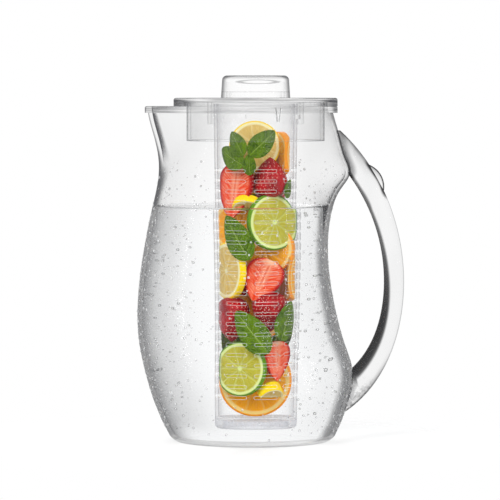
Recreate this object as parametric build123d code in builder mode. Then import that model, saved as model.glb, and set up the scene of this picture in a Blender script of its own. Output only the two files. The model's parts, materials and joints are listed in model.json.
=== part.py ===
"""Clear fruit infuser pitcher: moulded jug with a bonded handle, a lift-off lid with a knob, and a
slotted infuser tube that twists into the lid. The tube is packed with cut fruit and mint leaves.

Frame: origin at the centre of the lid's axis on the table, +Z up, handle towards +X, spout towards -X.
"""

import math
import os

from build123d import *

os.makedirs("parts", exist_ok=True)

# Driving dimensions, millimetres and degrees

# Jug body: round sections whose centres wander along X, so the belly swells towards the spout
wall = 3.0
floor_thickness = 4.0
foot_radius = 53.4
foot_shift = -2.2
toe_rise = 2.6
toe_radius = 57.2
heel_rise = 17.4
heel_radius = 65.4
heel_shift = -2.8
belly_rise = 26.0
belly_radius = 72.6
belly_shift = -4.2
flank_rise = 34.0
flank_radius = 70.6
flank_shift = -12.0
waist_rise = 42.0
waist_radius = 65.6
waist_shift = -14.4
throat_rise = 54.0
throat_radius = 60.6
throat_shift = -8.6
neck_rise = 58.0
mouth_radius = 52.8
outline_points = 40

# Shares of the rim's height where the jug's sections lie, closer together at foot, shoulder and rim
foot_shares = [0.004, 0.011, 0.025, 0.05, 0.09, 0.145, 0.21, 0.29, 0.39, 0.50]
neck_shares = [0.61, 0.69, 0.75, 0.80, 0.85, 0.905, 0.957, 0.983]

# Spout and handle shoulder: beaks drawn out of the round sections, at depths below the rim
spout_reach = 75.5
spout_depth = 62.0
shoulder_reach = 66.0
shoulder_drop = 47.0
shoulder_depth = 88.0
beak_softness = 0.16
flange_height = 4.6
flange_overhang = 4.5
flange_rounding = 1.2
lip_overhang = 1.9
lip_taper = 0.6

# Handle: a bow with a rounded section, its points given by how far they stand off the jug's side
handle_width = 21.0
handle_rounding = 5.6
handle_root = 9.0
handle_top_drop = 17.0
handle_top_standoff = 6.6
handle_bottom_height = 18.5
handle_bottom_standoff = -2.0
outer_bow_height = 108.0
outer_bow_standoff = 50.9
outer_upper_drop = 41.5
outer_upper_standoff = 27.6
outer_lower_height = 39.5
outer_lower_standoff = 14.5
inner_bow_height = 112.0
inner_bow_standoff = 37.8
inner_upper_drop = 72.5
inner_upper_standoff = 27.9
inner_lower_height = 63.5
inner_lower_standoff = 14.3
inner_top_drop = 43.5
inner_top_standoff = 9.4
inner_bottom_height = 44.0
inner_bottom_standoff = -8.5

# Thumb rest: a hump on the back of the handle, placed from the handle's upper bend
thumb_rest_width = 13.0
thumb_rest_rounding = 2.6
thumb_rest_top = (-2.0, 1.2)
thumb_rest_peak = (8.2, -7.2)
thumb_rest_end = (8.4, -22.0)

# Lid: a disc with a knob, a skirt and the socket that takes the infuser
lid_edge_height = 5.8
lid_edge_gap = 2.1
lid_thickness = 3.0
lid_rounding = 1.6
skirt_gap = 1.6
skirt_wall = 2.2
skirt_depth = 27.0
boss_height = 4.4
boss_wall = 2.2
boss_gap = 0.1
knob_radius = 24.2
knob_top_radius = 23.2
knob_height = 15.6
knob_wall = 2.4
knob_rounding = 3.4
dish_radius = 12.5
dish_depth = 2.0
socket_depth = 15.2
socket_wall = 2.4
key_width = 3.8
key_tip_width = 1.4
key_length = 9.4
key_drop = 3.8
key_rise = 0.8
key_angle = -63.0

# Infuser tube
tube_top_radius = 29.4
tube_foot_radius = 26.2
tube_wall = 2.0
tube_headroom = 1.0
tube_foot_height = 11.0
tube_floor = 3.0
tube_foot_ring = 5.0
tube_foot_rounding = 3.2
slot_columns = 8
slot_rib = 4.0
slot_width = 2.2
slot_pitch = 7.1
slot_first_rise = 22.0
slot_top_drop = 46.0
slot_turn = -75.5
lug_count = 3
lug_height = 3.0
lug_angle = 34.0
ledge_angle = 72.0
ledge_height = 3.4
ledge_bite = 1.5
ledge_gap = 0.6

# Fruit and leaves, with a berry's side in shares of its radius and length from its point to its crown
berry_profile = [(0, -0.55), (0.62, -0.26), (1, 0.12), (0.76, 0.36), (0.34, 0.45)]
fruit_gap = 0.3
leaf_thickness = 0.8
leaf_step = 1.1
leaf_reach = 18.0
slice_rounding = 0.8

# Clearances
fit_gap = 0.3

# Derived sizes
heel_height = toe_rise + heel_rise
belly_height = heel_height + belly_rise
flank_height = belly_height + flank_rise
waist_height = flank_height + waist_rise
throat_height = waist_height + throat_rise
rim_height = throat_height + neck_rise
lid_top = rim_height + lid_edge_height
plate_underside = lid_top - lid_thickness
lid_radius = mouth_radius + flange_overhang
skirt_radius = mouth_radius - wall - skirt_gap
knob_bore = knob_top_radius - knob_wall
boss_radius = knob_bore - boss_gap
knob_crown = lid_top + knob_height
ledge_radius = tube_top_radius + ledge_gap
socket_bore = ledge_radius + ledge_bite
socket_radius = socket_bore + socket_wall
socket_foot = plate_underside - socket_depth
ledge_top = socket_foot + ledge_height
lug_radius = socket_bore - fit_gap
tube_top = plate_underside - tube_headroom
tube_floor_top = tube_foot_height + tube_foot_ring + tube_floor
slot_first_height = tube_foot_height + slot_first_rise
slot_rows = 1 + int((tube_top - slot_top_drop - slot_first_height) / slot_pitch)
slot_length = 2 * math.pi * tube_foot_radius / slot_columns - slot_rib


def save(part, name):
    """Labels a finished piece and writes it to its own file."""
    part.label = name
    export_step(part, f"parts/{name}.step")


def heading(turn):
    """The level direction at an angle from +X, in degrees."""
    return Vector(math.cos(math.radians(turn)), math.sin(math.radians(turn)), 0)


jug_stations = [
    (0.0, foot_radius, foot_shift),
    (toe_rise, toe_radius, foot_shift),
    (heel_height, heel_radius, heel_shift),
    (belly_height, belly_radius, belly_shift),
    (flank_height, flank_radius, flank_shift),
    (waist_height, waist_radius, waist_shift),
    (throat_height, throat_radius, throat_shift),
    (rim_height, mouth_radius, 0.0),
]


def station_value(height, column):
    """A smooth curve through the stations' values in one column, at a height."""
    last = len(jug_stations) - 1
    low = max(i for i in range(last) if jug_stations[i][0] <= height or i == 0)
    high = low + 1

    def slope(i):
        before, after = jug_stations[max(i - 1, 0)], jug_stations[min(i + 1, last)]
        return (after[column] - before[column]) / (after[0] - before[0])

    span = jug_stations[high][0] - jug_stations[low][0]
    t = (height - jug_stations[low][0]) / span
    start, end = jug_stations[low][column], jug_stations[high][column]
    return (
        start * (1 + 2 * t) * (1 - t) ** 2
        + end * t * t * (3 - 2 * t)
        + span * (slope(low) * t * (1 - t) ** 2 - slope(high) * t * t * (1 - t))
    )


def jug_radius(height):
    """The radius of the jug's round section at a height."""
    return station_value(height, 1)


def jug_shift(height):
    """Where the centre of the jug's round section stands along X at a height."""
    return station_value(height, 2)


def ease(value):
    """Rises smoothly from 0 to 1 and stays there."""
    t = min(max(value, 0.0), 1.0)
    return t * t * (3 - 2 * t)


def spout_tip(height):
    """How far the spout's tip stands from the section's centre."""
    radius = jug_radius(height)
    rise = ease((height - rim_height + spout_depth) / spout_depth)
    return radius + rise * (spout_reach + jug_shift(height) - radius)


def shoulder_tip(height):
    """How far the handle's shoulder stands from the section's centre: it swells up to its height and
    dies away towards the rim."""
    drop = rim_height - height
    if drop >= shoulder_drop:
        rise = max((shoulder_depth - drop) / (shoulder_depth - shoulder_drop), 0.0) ** 2
    else:
        rise = max(drop, 0.0) / shoulder_drop
    peak = rim_height - shoulder_drop
    return jug_radius(height) + rise * (shoulder_reach - jug_shift(peak) - jug_radius(peak))


def beak(angle, radius, tip):
    """Distance from the centre on a round section that is drawn out to a soft-tipped beak."""
    if tip <= radius:
        return radius
    opening = math.acos(radius / tip)
    turned = math.hypot(angle, beak_softness) - beak_softness
    return radius if turned >= opening else radius / math.cos(opening - turned)


def jug_outline(height, offset, lip_offset):
    """Points round the jug at a height, moved outwards by an offset that eases to another at the spout."""
    points = []
    for i in range(outline_points):
        angle = 2 * math.pi * i / outline_points
        from_handle = abs(math.remainder(angle, 2 * math.pi))
        from_spout = math.pi - from_handle
        spout = beak(from_spout, jug_radius(height), spout_tip(height))
        shoulder = beak(from_handle, jug_radius(height), shoulder_tip(height))
        reach = max(spout, shoulder) + offset + (lip_offset - offset) * ease(1 - from_spout / lip_taper)
        points.append((jug_shift(height) + reach * math.cos(angle), reach * math.sin(angle)))
    return points


def jug_form(low, high, offset):
    """The jug's form as one solid between two heights, moved outwards by an offset."""
    between = [rim_height * share for share in foot_shares + neck_shares]
    with BuildPart() as form:
        for height in [low, *(level for level in between if level > low), high]:
            with BuildSketch(Plane.XY.offset(height)):
                with BuildLine():
                    Spline(*jug_outline(min(height, rim_height), offset, offset), periodic=True)
                make_face()
        loft()
    return form.part


# Jug: outer form with a rim flange, hollowed by the inner form
outer_form = jug_form(0.0, rim_height, 0.0)
inner_form = jug_form(floor_thickness, rim_height + flange_height, -wall)

with BuildPart() as jug_block:
    add(outer_form)
    with BuildSketch(Plane.XY.offset(rim_height - flange_height)):
        with BuildLine():
            Spline(*jug_outline(rim_height, flange_overhang, lip_overhang), periodic=True)
        make_face()
    extrude(amount=flange_height)
filled_jug = jug_block.part

with BuildPart() as jug:
    add(filled_jug)
    add(inner_form, mode=Mode.SUBTRACT)
    lip_edges = jug.faces().filter_by(Axis.Z).sort_by(Axis.Z)[-1].edges()
    fillet(lip_edges.sort_by(SortBy.LENGTH)[-1], flange_rounding)
save(jug.part, "pitcher_body")


def off_jug(height, standoff):
    """A point on the handle's side that stands off the jug's round side at a height."""
    return Vector(jug_radius(height) + jug_shift(height) + standoff, height)


# Handle: its profile runs into the jug, the long edges are rounded, then the jug's form is cut away
handle_top = off_jug(rim_height - handle_top_drop, handle_top_standoff)
handle_bottom = off_jug(handle_bottom_height, handle_bottom_standoff)
upper_bend = off_jug(rim_height - outer_upper_drop, outer_upper_standoff)
inner_top = off_jug(rim_height - inner_top_drop, inner_top_standoff)
inner_bottom = off_jug(inner_bottom_height, inner_bottom_standoff)
with BuildPart() as handle_bow:
    with BuildSketch(Plane.XZ):
        with BuildLine():
            Spline(
                handle_top,
                upper_bend,
                off_jug(outer_bow_height, outer_bow_standoff),
                off_jug(outer_lower_height, outer_lower_standoff),
                handle_bottom,
            )
            Polyline(handle_bottom, handle_bottom + (-handle_root, handle_root / 2), inner_bottom)
            Spline(
                inner_bottom,
                off_jug(inner_lower_height, inner_lower_standoff),
                off_jug(inner_bow_height, inner_bow_standoff),
                off_jug(rim_height - inner_upper_drop, inner_upper_standoff),
                inner_top,
            )
            Polyline(inner_top, handle_top - (handle_root, 0), handle_top)
        make_face()
    extrude(amount=handle_width / 2, both=True)
    fillet(handle_bow.edges().filter_by(GeomType.BSPLINE), handle_rounding)

with BuildPart() as thumb_rest:
    with BuildSketch(Plane.XZ):
        with BuildLine():
            ThreePointArc(
                upper_bend + thumb_rest_top,
                upper_bend + thumb_rest_peak,
                upper_bend + thumb_rest_end,
            )
            Line(upper_bend + thumb_rest_end, upper_bend + thumb_rest_top)
        make_face()
    extrude(amount=thumb_rest_width / 2, both=True)
    fillet(thumb_rest.edges().filter_by(GeomType.CIRCLE), thumb_rest_rounding)

with BuildPart() as handle:
    add(handle_bow.part)
    add(thumb_rest.part)
    add(filled_jug, mode=Mode.SUBTRACT)
save(handle.part, "handle")

# Lid disc: a thin plate with a deep edge that rests on the rim flange, and a boss that locates the knob
with BuildPart() as lid:
    with BuildSketch(Plane.XZ):
        with BuildLine():
            Polyline(
                (0, plate_underside),
                (skirt_radius + lid_edge_gap, plate_underside),
                (skirt_radius + lid_edge_gap, rim_height),
                (lid_radius, rim_height),
                (lid_radius, lid_top),
                (boss_radius, lid_top),
                (boss_radius, lid_top + boss_height),
                (boss_radius - boss_wall, lid_top + boss_height),
                (boss_radius - boss_wall, lid_top),
                (0, lid_top),
                close=True,
            )
        make_face()
    revolve(axis=Axis.Z)
    outer_edges = lid.edges().filter_by(GeomType.CIRCLE).sort_by(SortBy.RADIUS)[-2:]
    fillet(outer_edges.sort_by(Axis.Z)[-1], lid_rounding)
save(lid.part, "lid_plate")

# Knob: a hollow cap over the boss, with a shallow finger dish in its crown
dish_ball = (dish_radius**2 + dish_depth**2) / (2 * dish_depth)
with BuildPart() as knob:
    with BuildSketch(Plane.XZ):
        with BuildLine():
            Polyline(
                (0, lid_top),
                (knob_radius, lid_top),
                (knob_top_radius, knob_crown),
                (0, knob_crown),
                close=True,
            )
        make_face()
    revolve(axis=Axis.Z)
    fillet(knob.edges().sort_by(Axis.Z)[-1], knob_rounding)
    with BuildSketch(Plane.XY.offset(lid_top)):
        Circle(knob_bore)
    extrude(amount=knob_height - knob_wall - dish_depth, mode=Mode.SUBTRACT)
    with Locations((0, 0, knob_crown + dish_ball - dish_depth)):
        Sphere(dish_ball, mode=Mode.SUBTRACT)
save(knob.part, "lid_knob")

# Skirt: a ring under the lid that hangs in the mouth
with BuildPart() as skirt:
    with BuildSketch(Plane.XY.offset(plate_underside - skirt_depth)):
        Circle(skirt_radius)
        Circle(skirt_radius - skirt_wall, mode=Mode.SUBTRACT)
    extrude(amount=skirt_depth)
save(skirt.part, "lid_skirt")


def ring_sector(low, height, inner, outer, middle, sweep):
    """A curved block between two radii, centred on an angle."""
    first = middle - sweep / 2
    with BuildPart() as block:
        with BuildSketch(Plane.XY.offset(low)):
            with BuildLine():
                CenterArc((0, 0), outer, first, sweep)
                CenterArc((0, 0), inner, first, sweep)
                Line(heading(first) * inner, heading(first) * outer)
                Line(heading(first + sweep) * inner, heading(first + sweep) * outer)
            make_face()
        extrude(amount=height)
    return block.part


# Socket: a ring under the lid with ledges inside that carry the tube's lugs, and a raised arrow key
key_side = heading(key_angle)
key_face = Plane(
    origin=key_side * (socket_radius + key_rise) + (0, 0, plate_underside - key_drop),
    x_dir=heading(key_angle + 90),
    z_dir=key_side,
)
with BuildPart() as socket:
    with BuildSketch(Plane.XY.offset(socket_foot)):
        Circle(socket_radius)
        Circle(socket_bore, mode=Mode.SUBTRACT)
    extrude(amount=socket_depth)
    ledge_root = socket_bore + socket_wall / 2
    for i in range(lug_count):
        middle = 360 * i / lug_count
        add(ring_sector(socket_foot, ledge_height, ledge_radius, ledge_root, middle, ledge_angle))
    with BuildSketch(key_face):
        with BuildLine():
            Polyline(
                (-key_width / 2, 0),
                (key_width / 2, 0),
                (key_tip_width / 2, -key_length),
                (-key_tip_width / 2, -key_length),
                close=True,
            )
        make_face()
    extrude(amount=-(key_rise + socket_wall / 2))
save(socket.part, "infuser_socket")


def tube_radius(height):
    """The tube's outside radius at a height."""
    share = (height - tube_foot_height) / (tube_top - tube_foot_height)
    return tube_foot_radius + share * (tube_top_radius - tube_foot_radius)


def tube_core(inset, low):
    """A solid of the tube's drafted form, drawn in by an inset, from a height up to the tube's top."""
    with BuildPart() as core:
        with BuildSketch(Plane.XZ):
            with BuildLine():
                Polyline(
                    (0, low),
                    (tube_radius(low) - inset, low),
                    (tube_top_radius - inset, tube_top),
                    (0, tube_top),
                    close=True,
                )
            make_face()
        revolve(axis=Axis.Z)
    return core.part


# Infuser tube: drafted, closed at the foot, pierced by rows of slots, with lugs near its open top
tube_outside = tube_core(0, tube_foot_height)
tube_inside = tube_core(tube_wall, tube_floor_top)
slot_middle = slot_first_height + slot_pitch * (slot_rows - 1) / 2
with BuildPart() as tube:
    add(tube_outside)
    fillet(tube.edges().sort_by(Axis.Z)[0], tube_foot_rounding)
    add(tube_inside, mode=Mode.SUBTRACT)
    with BuildSketch(Plane.XY.offset(tube_foot_height)):
        Circle(tube_foot_radius - tube_foot_rounding - tube_wall)
    extrude(amount=tube_foot_ring, mode=Mode.SUBTRACT)
    for column in range(slot_columns):
        turn = slot_turn + 360 * column / slot_columns
        slot_face = Plane(
            origin=heading(turn) * tube_top_radius + (0, 0, slot_middle),
            x_dir=heading(turn + 90),
            z_dir=heading(turn),
        )
        with BuildSketch(slot_face):
            with GridLocations(slot_length, slot_pitch, 1, slot_rows):
                SlotOverall(slot_length, slot_width)
        extrude(amount=-tube_top_radius / 3, mode=Mode.SUBTRACT)
    lug_root = tube_radius(ledge_top) - tube_wall / 2
    for i in range(lug_count):
        add(ring_sector(ledge_top, lug_height, lug_root, lug_radius, 360 * i / lug_count, lug_angle))
save(tube.part, "infuser_tube")

# Fruit: each piece is trimmed to the tube's hollow and to the fruit that was packed before it
fruit_room = tube_core(tube_wall + fruit_gap, tube_floor_top)
packed = []


def spot(across, deep, up):
    """A place in the tube: across and deep in shares of its hollow's radius, up in shares of its depth."""
    radius = tube_foot_radius - tube_wall
    return Vector(across * radius, deep * radius, tube_floor_top + up * (tube_top - tube_floor_top))


def facing(place, yaw, tilt=0):
    """A plane at a place that faces the front, turned right by the yaw and up by the tilt."""
    level = heading(yaw - 90)
    up = math.sin(math.radians(tilt))
    normal = level * math.cos(math.radians(tilt)) + (0, 0, up)
    return Plane(origin=place, x_dir=heading(yaw), z_dir=normal)


def apart(one, other):
    """Whether two solids' boxes stand clear of each other."""
    first, second = one.bounding_box(), other.bounding_box()
    low = [max(pair) for pair in zip(first.min, second.min)]
    high = [min(pair) for pair in zip(first.max, second.max)]
    return any(a > b for a, b in zip(low, high))


def pack_fruit(solid, name):
    """Settles one piece of fruit among the rest and saves it."""
    with BuildPart() as piece:
        add(solid)
        add(fruit_room, mode=Mode.INTERSECT)
        for other in packed:
            if not apart(solid, other):
                add(other, mode=Mode.SUBTRACT)
    kept = piece.part.solids().sort_by(SortBy.VOLUME)[-1]
    packed.append(kept)
    save(kept, name)


def mint_leaf(name, turn, up, length, width, lean, layer=0):
    """A leaf pressed against the tube's wall: turn is its angle from the front, lean tips it right."""
    front = facing(spot(0, 0, up) + heading(turn - 90) * tube_top_radius, turn)
    along = Vector(math.sin(math.radians(lean)), math.cos(math.radians(lean)))
    side = Vector(along.Y, -along.X)
    inset = tube_wall + fruit_gap + layer * leaf_step
    with BuildPart() as leaf:
        with BuildSketch(front):
            with BuildLine():
                ThreePointArc(along * (-length / 2), side * (width / 2), along * (length / 2))
                ThreePointArc(along * (-length / 2), side * (-width / 2), along * (length / 2))
            make_face()
        extrude(amount=-leaf_reach)
        add(tube_core(inset, tube_floor_top), mode=Mode.INTERSECT)
        add(tube_core(inset + leaf_thickness, tube_floor_top), mode=Mode.SUBTRACT)
    pack_fruit(leaf.part, name)


def citrus_slice(name, place, yaw, radius, thickness, tilt=0):
    """A round slice with softened rims."""
    with BuildPart(facing(place, yaw, tilt)) as piece:
        Cylinder(radius, thickness)
        fillet(piece.edges().filter_by(GeomType.CIRCLE), slice_rounding)
    pack_fruit(piece.part, name)


def citrus_half(name, place, yaw, radius, thickness):
    """A half slice, with its round rind up."""
    plane = facing(place, yaw)
    with BuildPart(plane) as piece:
        Cylinder(radius, thickness)
        split(bisect_by=Plane(origin=place, z_dir=plane.y_dir))
    pack_fruit(piece.part, name)


def strawberry(name, place, yaw, radius, length, lean=0, half=False):
    """A berry with its point down, tipped right by the lean. A half berry shows its cut face in front."""
    side = [Vector(radius * out, length * up) for out, up in berry_profile]
    point, crown = side[0], side[-1]
    with BuildPart() as berry:
        with BuildSketch(Plane.XZ):
            with BuildLine():
                Spline(*side)
                Polyline(crown, (0, crown.Y), point)
            make_face()
        revolve(axis=Axis.Z)
        if half:
            split(bisect_by=Plane.XZ, keep=Keep.BOTTOM)
    upright = Plane(origin=place, x_dir=heading(yaw), z_dir=(0, 0, 1))
    turned = upright.rotated((0, lean, 0))
    pack_fruit(turned.location * berry.part, name)


# Mint: leaves pressed to the tube's wall, from the top sprig down
mint_leaf("mint_leaf_sprig_right", 10, 0.874, 25, 15, 47)
mint_leaf("mint_leaf_sprig_left", -29, 0.872, 19, 12, -28)
mint_leaf("mint_leaf_sprig_low", -43, 0.828, 24, 15, -62, layer=1)
mint_leaf("mint_leaf_sprig_centre", -10, 0.806, 15, 9, 0, layer=1)
mint_leaf("mint_leaf_edge", 62, 0.727, 14, 9, 25)
mint_leaf("mint_leaf_middle", -31, 0.570, 35, 19, -30)
mint_leaf("mint_leaf_right", 53, 0.300, 29, 18, 20)
mint_leaf("mint_leaf_low", -7, 0.267, 37, 19, -37)
mint_leaf("mint_leaf_back_high", 165, 0.660, 34, 18, 35)
mint_leaf("mint_leaf_back_low", -160, 0.330, 34, 18, -30)

# Fruit at the front, then what fills the rest of the tube
citrus_slice("lime_slice_upper", spot(0.44, -0.45, 0.620), 35, 19.4, 5)
citrus_slice("lime_slice_low", spot(-0.40, -0.43, 0.150), -30, 17.8, 5)
strawberry("strawberry_half_upper", spot(-0.60, -0.48, 0.733), -35, 11.5, 35, lean=8, half=True)
strawberry("strawberry_half_middle", spot(0.16, -0.60, 0.438), 8, 12, 30, lean=24, half=True)
strawberry("strawberry_half_low", spot(0.56, -0.40, 0.178), 38, 10.4, 27, half=True)
strawberry("strawberry_upper", spot(0.42, -0.36, 0.757), 0, 12.4, 28, lean=180)
strawberry("strawberry_middle", spot(0.34, -0.36, 0.334), -126, 11, 26)
strawberry("strawberry_left", spot(-0.60, -0.20, 0.310), -162, 10, 29)
citrus_slice("lemon_slice_left", spot(-0.64, -0.12, 0.460), -66, 19.6, 5)
citrus_half("lemon_half_upper", spot(-0.22, -0.40, 0.668), -10, 11, 6)
citrus_half("lemon_half_low", spot(0.38, -0.36, 0.074), 40, 8.5, 7)
citrus_slice("lemon_slice_top", spot(-0.02, -0.14, 0.862), 0, 18, 5.5, tilt=14)
citrus_slice("orange_slice_top", spot(0.72, -0.05, 0.838), -66, 15.5, 5.5)
citrus_slice("orange_slice_upper", spot(-0.34, 0.12, 0.600), -20, 18, 6)
citrus_slice("orange_slice_middle", spot(0.24, 0.04, 0.545), -15, 19.4, 6)
citrus_slice("orange_slice_right", spot(0.80, 0.06, 0.440), -66, 17.5, 5.5)
citrus_slice("orange_slice_low", spot(0.0, 0.22, 0.106), 0, 22.2, 7)
citrus_slice("orange_slice_back", spot(0.0, 0.58, 0.310), 178, 17.6, 6)
citrus_slice("lemon_slice_back_low", spot(0.10, 0.66, 0.120), 172, 15.5, 5)
citrus_slice("lime_slice_back", spot(0.26, 0.60, 0.570), 160, 16, 5)
citrus_slice("lemon_slice_back_high", spot(-0.12, 0.60, 0.780), 188, 16, 5)
strawberry("strawberry_back_low", spot(-0.36, 0.50, 0.445), 180, 10.5, 28)
strawberry("strawberry_back_high", spot(0.44, 0.52, 0.700), 180, 10.5, 28)
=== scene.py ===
"""Looks of a clear fruit infuser pitcher: acrylic, water, condensation, cut fruit and mint leaves."""

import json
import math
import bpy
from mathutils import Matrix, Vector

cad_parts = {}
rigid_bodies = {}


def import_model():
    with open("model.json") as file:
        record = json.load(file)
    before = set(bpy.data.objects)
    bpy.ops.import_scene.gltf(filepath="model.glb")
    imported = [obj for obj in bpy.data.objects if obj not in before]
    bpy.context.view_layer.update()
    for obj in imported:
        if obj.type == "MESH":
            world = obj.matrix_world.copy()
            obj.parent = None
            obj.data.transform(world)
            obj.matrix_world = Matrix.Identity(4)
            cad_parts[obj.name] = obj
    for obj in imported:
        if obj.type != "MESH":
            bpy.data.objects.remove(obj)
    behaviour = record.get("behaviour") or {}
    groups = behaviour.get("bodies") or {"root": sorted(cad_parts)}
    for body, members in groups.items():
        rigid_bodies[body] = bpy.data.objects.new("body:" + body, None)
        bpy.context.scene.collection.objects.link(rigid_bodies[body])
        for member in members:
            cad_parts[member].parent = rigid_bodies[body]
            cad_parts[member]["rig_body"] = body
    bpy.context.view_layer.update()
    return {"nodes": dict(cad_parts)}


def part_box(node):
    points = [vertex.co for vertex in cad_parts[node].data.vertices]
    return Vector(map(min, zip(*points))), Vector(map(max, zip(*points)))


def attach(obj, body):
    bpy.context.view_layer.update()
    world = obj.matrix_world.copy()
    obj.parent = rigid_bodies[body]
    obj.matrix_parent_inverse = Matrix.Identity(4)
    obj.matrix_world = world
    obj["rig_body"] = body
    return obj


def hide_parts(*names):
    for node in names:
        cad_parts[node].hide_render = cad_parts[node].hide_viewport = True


bl_info = {
    "name": "Fruit Infuser Pitcher",
    "version": (1, 0, 0),
    "blender": (4, 5, 0),
    "location": "View3D > Sidebar > Infuser",
    "description": "Dresses the packed model of a clear fruit infuser pitcher",
    "category": "Object",
}

import bmesh
import bpy
import numpy as np
from bpy.props import FloatProperty, FloatVectorProperty, IntProperty, PointerProperty
from mathutils import Vector
from mathutils.bvhtree import BVHTree

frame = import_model()

MM = 0.001
TURN = 2 * math.pi

# Edges sharper than these stay hard, and points nearer than these are merged
SHARP_ANGLE = 32.0
WATER_SHARP_ANGLE = 50.0
MOULDING_WELD = 0.002 * MM
PIECE_WELD = 0.001 * MM

# A distance past the outside of every piece, for rays that look inwards
OUTSIDE = 200 * MM

# Infuser tube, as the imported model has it
tube_low, tube_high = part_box("infuser_tube")
TUBE_FOOT = tube_low.z
TUBE_TOP = tube_high.z
TUBE_FOOT_RADIUS = 26.2 * MM
TUBE_TOP_RADIUS = 29.4 * MM
TUBE_WALL = 2.0 * MM
TUBE_FLOOR_TOP = TUBE_FOOT + 8.0 * MM
SLOT_COLUMNS = 8
SLOT_ROWS = 23
SLOT_FIRST = TUBE_FOOT + 22.0 * MM
SLOT_PITCH = 7.1 * MM
SLOT_TURN = 14.5
SLOT_LENGTH = 16.58 * MM
SLOT_WIDTH = 2.2 * MM
SLOT_BEAD = 0.13 * MM

# Fruit in the tube: how far it keeps from the wall at the sides, and at the front and back
SIDE_INSET = 0.6 * MM
FRONT_INSET = 2.1 * MM
FRONT_SHARE = 0.6
NEAR_AXIS = 0.1 * MM

# Slices, in shares of the radius: rings from the middle to the rim, where the core ends, where the flesh
# ends and where the rim starts to round, and how far it is rounded
CITRUS_RINGS = [0, 0.05, 0.11, 0.2, 0.32, 0.45, 0.58, 0.7, 0.79, 0.845, 0.88, 0.93, 0.965, 0.99]
CITRUS_CORE = 0.07
CITRUS_FLESH = 0.84
CITRUS_RIM = 0.93
CITRUS_ROUNDING = 0.6 * MM

# Strawberries: share of the length, from the point, at which they are widest
BERRY_SHOULDER = 0.67

# Leaves: side veins from stalk to tip, their slant, and how the leaf lies on the tube's wall
LEAF_VEINS = 8.0
VEIN_SLANT = 1.7
LEAF_DEPTH = 0.65 * MM
LEAF_LAYER = 1.0 * MM
LEAF_QUILT = 0.28 * MM
LEAF_CREASE = 0.5 * MM
LEAF_THICKNESS = 0.45 * MM

# Jug, as the imported model has it, with the spans over which its painted shade changes, and the water in it
JUG_MIDDLE = -8 * MM
JUG_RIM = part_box("pitcher_body")[1].z
RIM_FOOT = JUG_RIM - 4.6 * MM
SPOUT_RISE = (JUG_RIM - 42 * MM, JUG_RIM - 20 * MM)
SPOUT_TIP_X = -64.5 * MM
SPOUT_TIP_Z = JUG_RIM - 30.6 * MM
SPOUT_SLOPE = 0.293
SPOUT_LIP = (-72 * MM, -44 * MM)
HANDLE_LIP = (44 * MM, 60 * MM)
SHOULDER = (JUG_RIM - 51 * MM, JUG_RIM - 43 * MM)
WATER_FLOOR = 4.2 * MM
WATER_LEVEL = 163.5 * MM
WATERLINE = (WATER_LEVEL - 5.5 * MM, WATER_LEVEL + 4.5 * MM)

# Lid and knob, as the imported model has them, with where the knob's dish and line are drawn in painted
# shade
LID_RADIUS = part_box("lid_plate")[1].y
knob_low, knob_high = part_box("lid_knob")
LID_TOP = knob_low.z
KNOB_CROWN = knob_high.z
KNOB_LINE = LID_TOP + 4.2 * MM
DISH_SHIFT = 1.7 * MM
DISH_HEIGHT = KNOB_CROWN - 4.4 * MM
DISH_HALF_WIDTH = 14 * MM
DISH_HALF_DEPTH = 1.4 * MM
SKIRT_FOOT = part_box("lid_skirt")[0].z
SOCKET_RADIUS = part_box("infuser_socket")[1].y
KEY_TURN = 27.0
KEY_HIGH = LID_TOP - 6.8 * MM
KEY_LOW = KEY_HIGH - 9.4 * MM
KEY_HALF_WIDTH = 1.9 * MM
KEY_TIP_HALF_WIDTH = 0.7 * MM

# Handle: a point inside its bow, and the heights over which its painted shade changes
BOW_CENTRE = Vector((52 * MM, 0, 112 * MM))
BAND_NARROWS = (65 * MM, 165 * MM)
BAND_START = (36 * MM, 48 * MM)
BOW_FOOT = (40 * MM, 64 * MM)
BOW_TOP = (175 * MM, 205 * MM)
UPPER_JOINT = (165 * MM, 180 * MM)
THUMB_REST_FOOT = (168 * MM, 174 * MM)
THUMB_REST_TOP = (191 * MM, 197 * MM)
ROUGH_BOND = (30 * MM, 46 * MM)


def colour_property(name, description, default):
    """A colour that a user may change."""
    return FloatVectorProperty(
        name=name, description=description, subtype="COLOR", size=3, min=0, max=1, default=default
    )


def length_property(name, description, default):
    """A length that a user may change, in metres."""
    return FloatProperty(name=name, description=description, default=default, unit="LENGTH", precision=5)


class StageSettings(bpy.types.PropertyGroup):
    """Camera, lamps and floor."""

    camera_distance: length_property("Camera distance", "From the pitcher's axis to the camera", 2.45)
    camera_height: length_property("Camera height", "Height of the camera above the table", 0.248)
    aim_height: length_property("Aim height", "Height at the middle of the picture", 0.1334)
    aim_side: length_property("Aim side", "Sideways place of the picture's middle", -0.0039)
    view_width: length_property("View width", "Width of the picture at the pitcher's axis", 0.35)
    floor_radius: length_property("Floor radius", "Where the floor has faded into the backdrop", 0.24)
    floor_colour: colour_property("Floor", "Colour of the floor", (0.93, 0.93, 0.93))


class AcrylicSettings(bpy.types.PropertyGroup):
    """Clear mouldings."""

    # The edge, skirt and tube colours are painted shade: the dark a moulding shows where a wall is seen edge
    # on. The skirt is also greyer than the other mouldings when seen square on.
    edge_colour: colour_property("Edge", "Shade where a wall is seen edge on", (0.10, 0.10, 0.105))
    skirt_grey_colour: colour_property("Smoke", "Shade of the lid's skirt", (0.34, 0.345, 0.35))
    tube_colour: colour_property("Tube", "Shade of the infuser tube", (0.42, 0.42, 0.46))
    # The slot rims' pale colour is a painted highlight on the slots' edges.
    rim_highlight_colour: colour_property("Slot rim", "Colour of the rims round the slots", (0.93, 0.94, 0.92))


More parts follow.
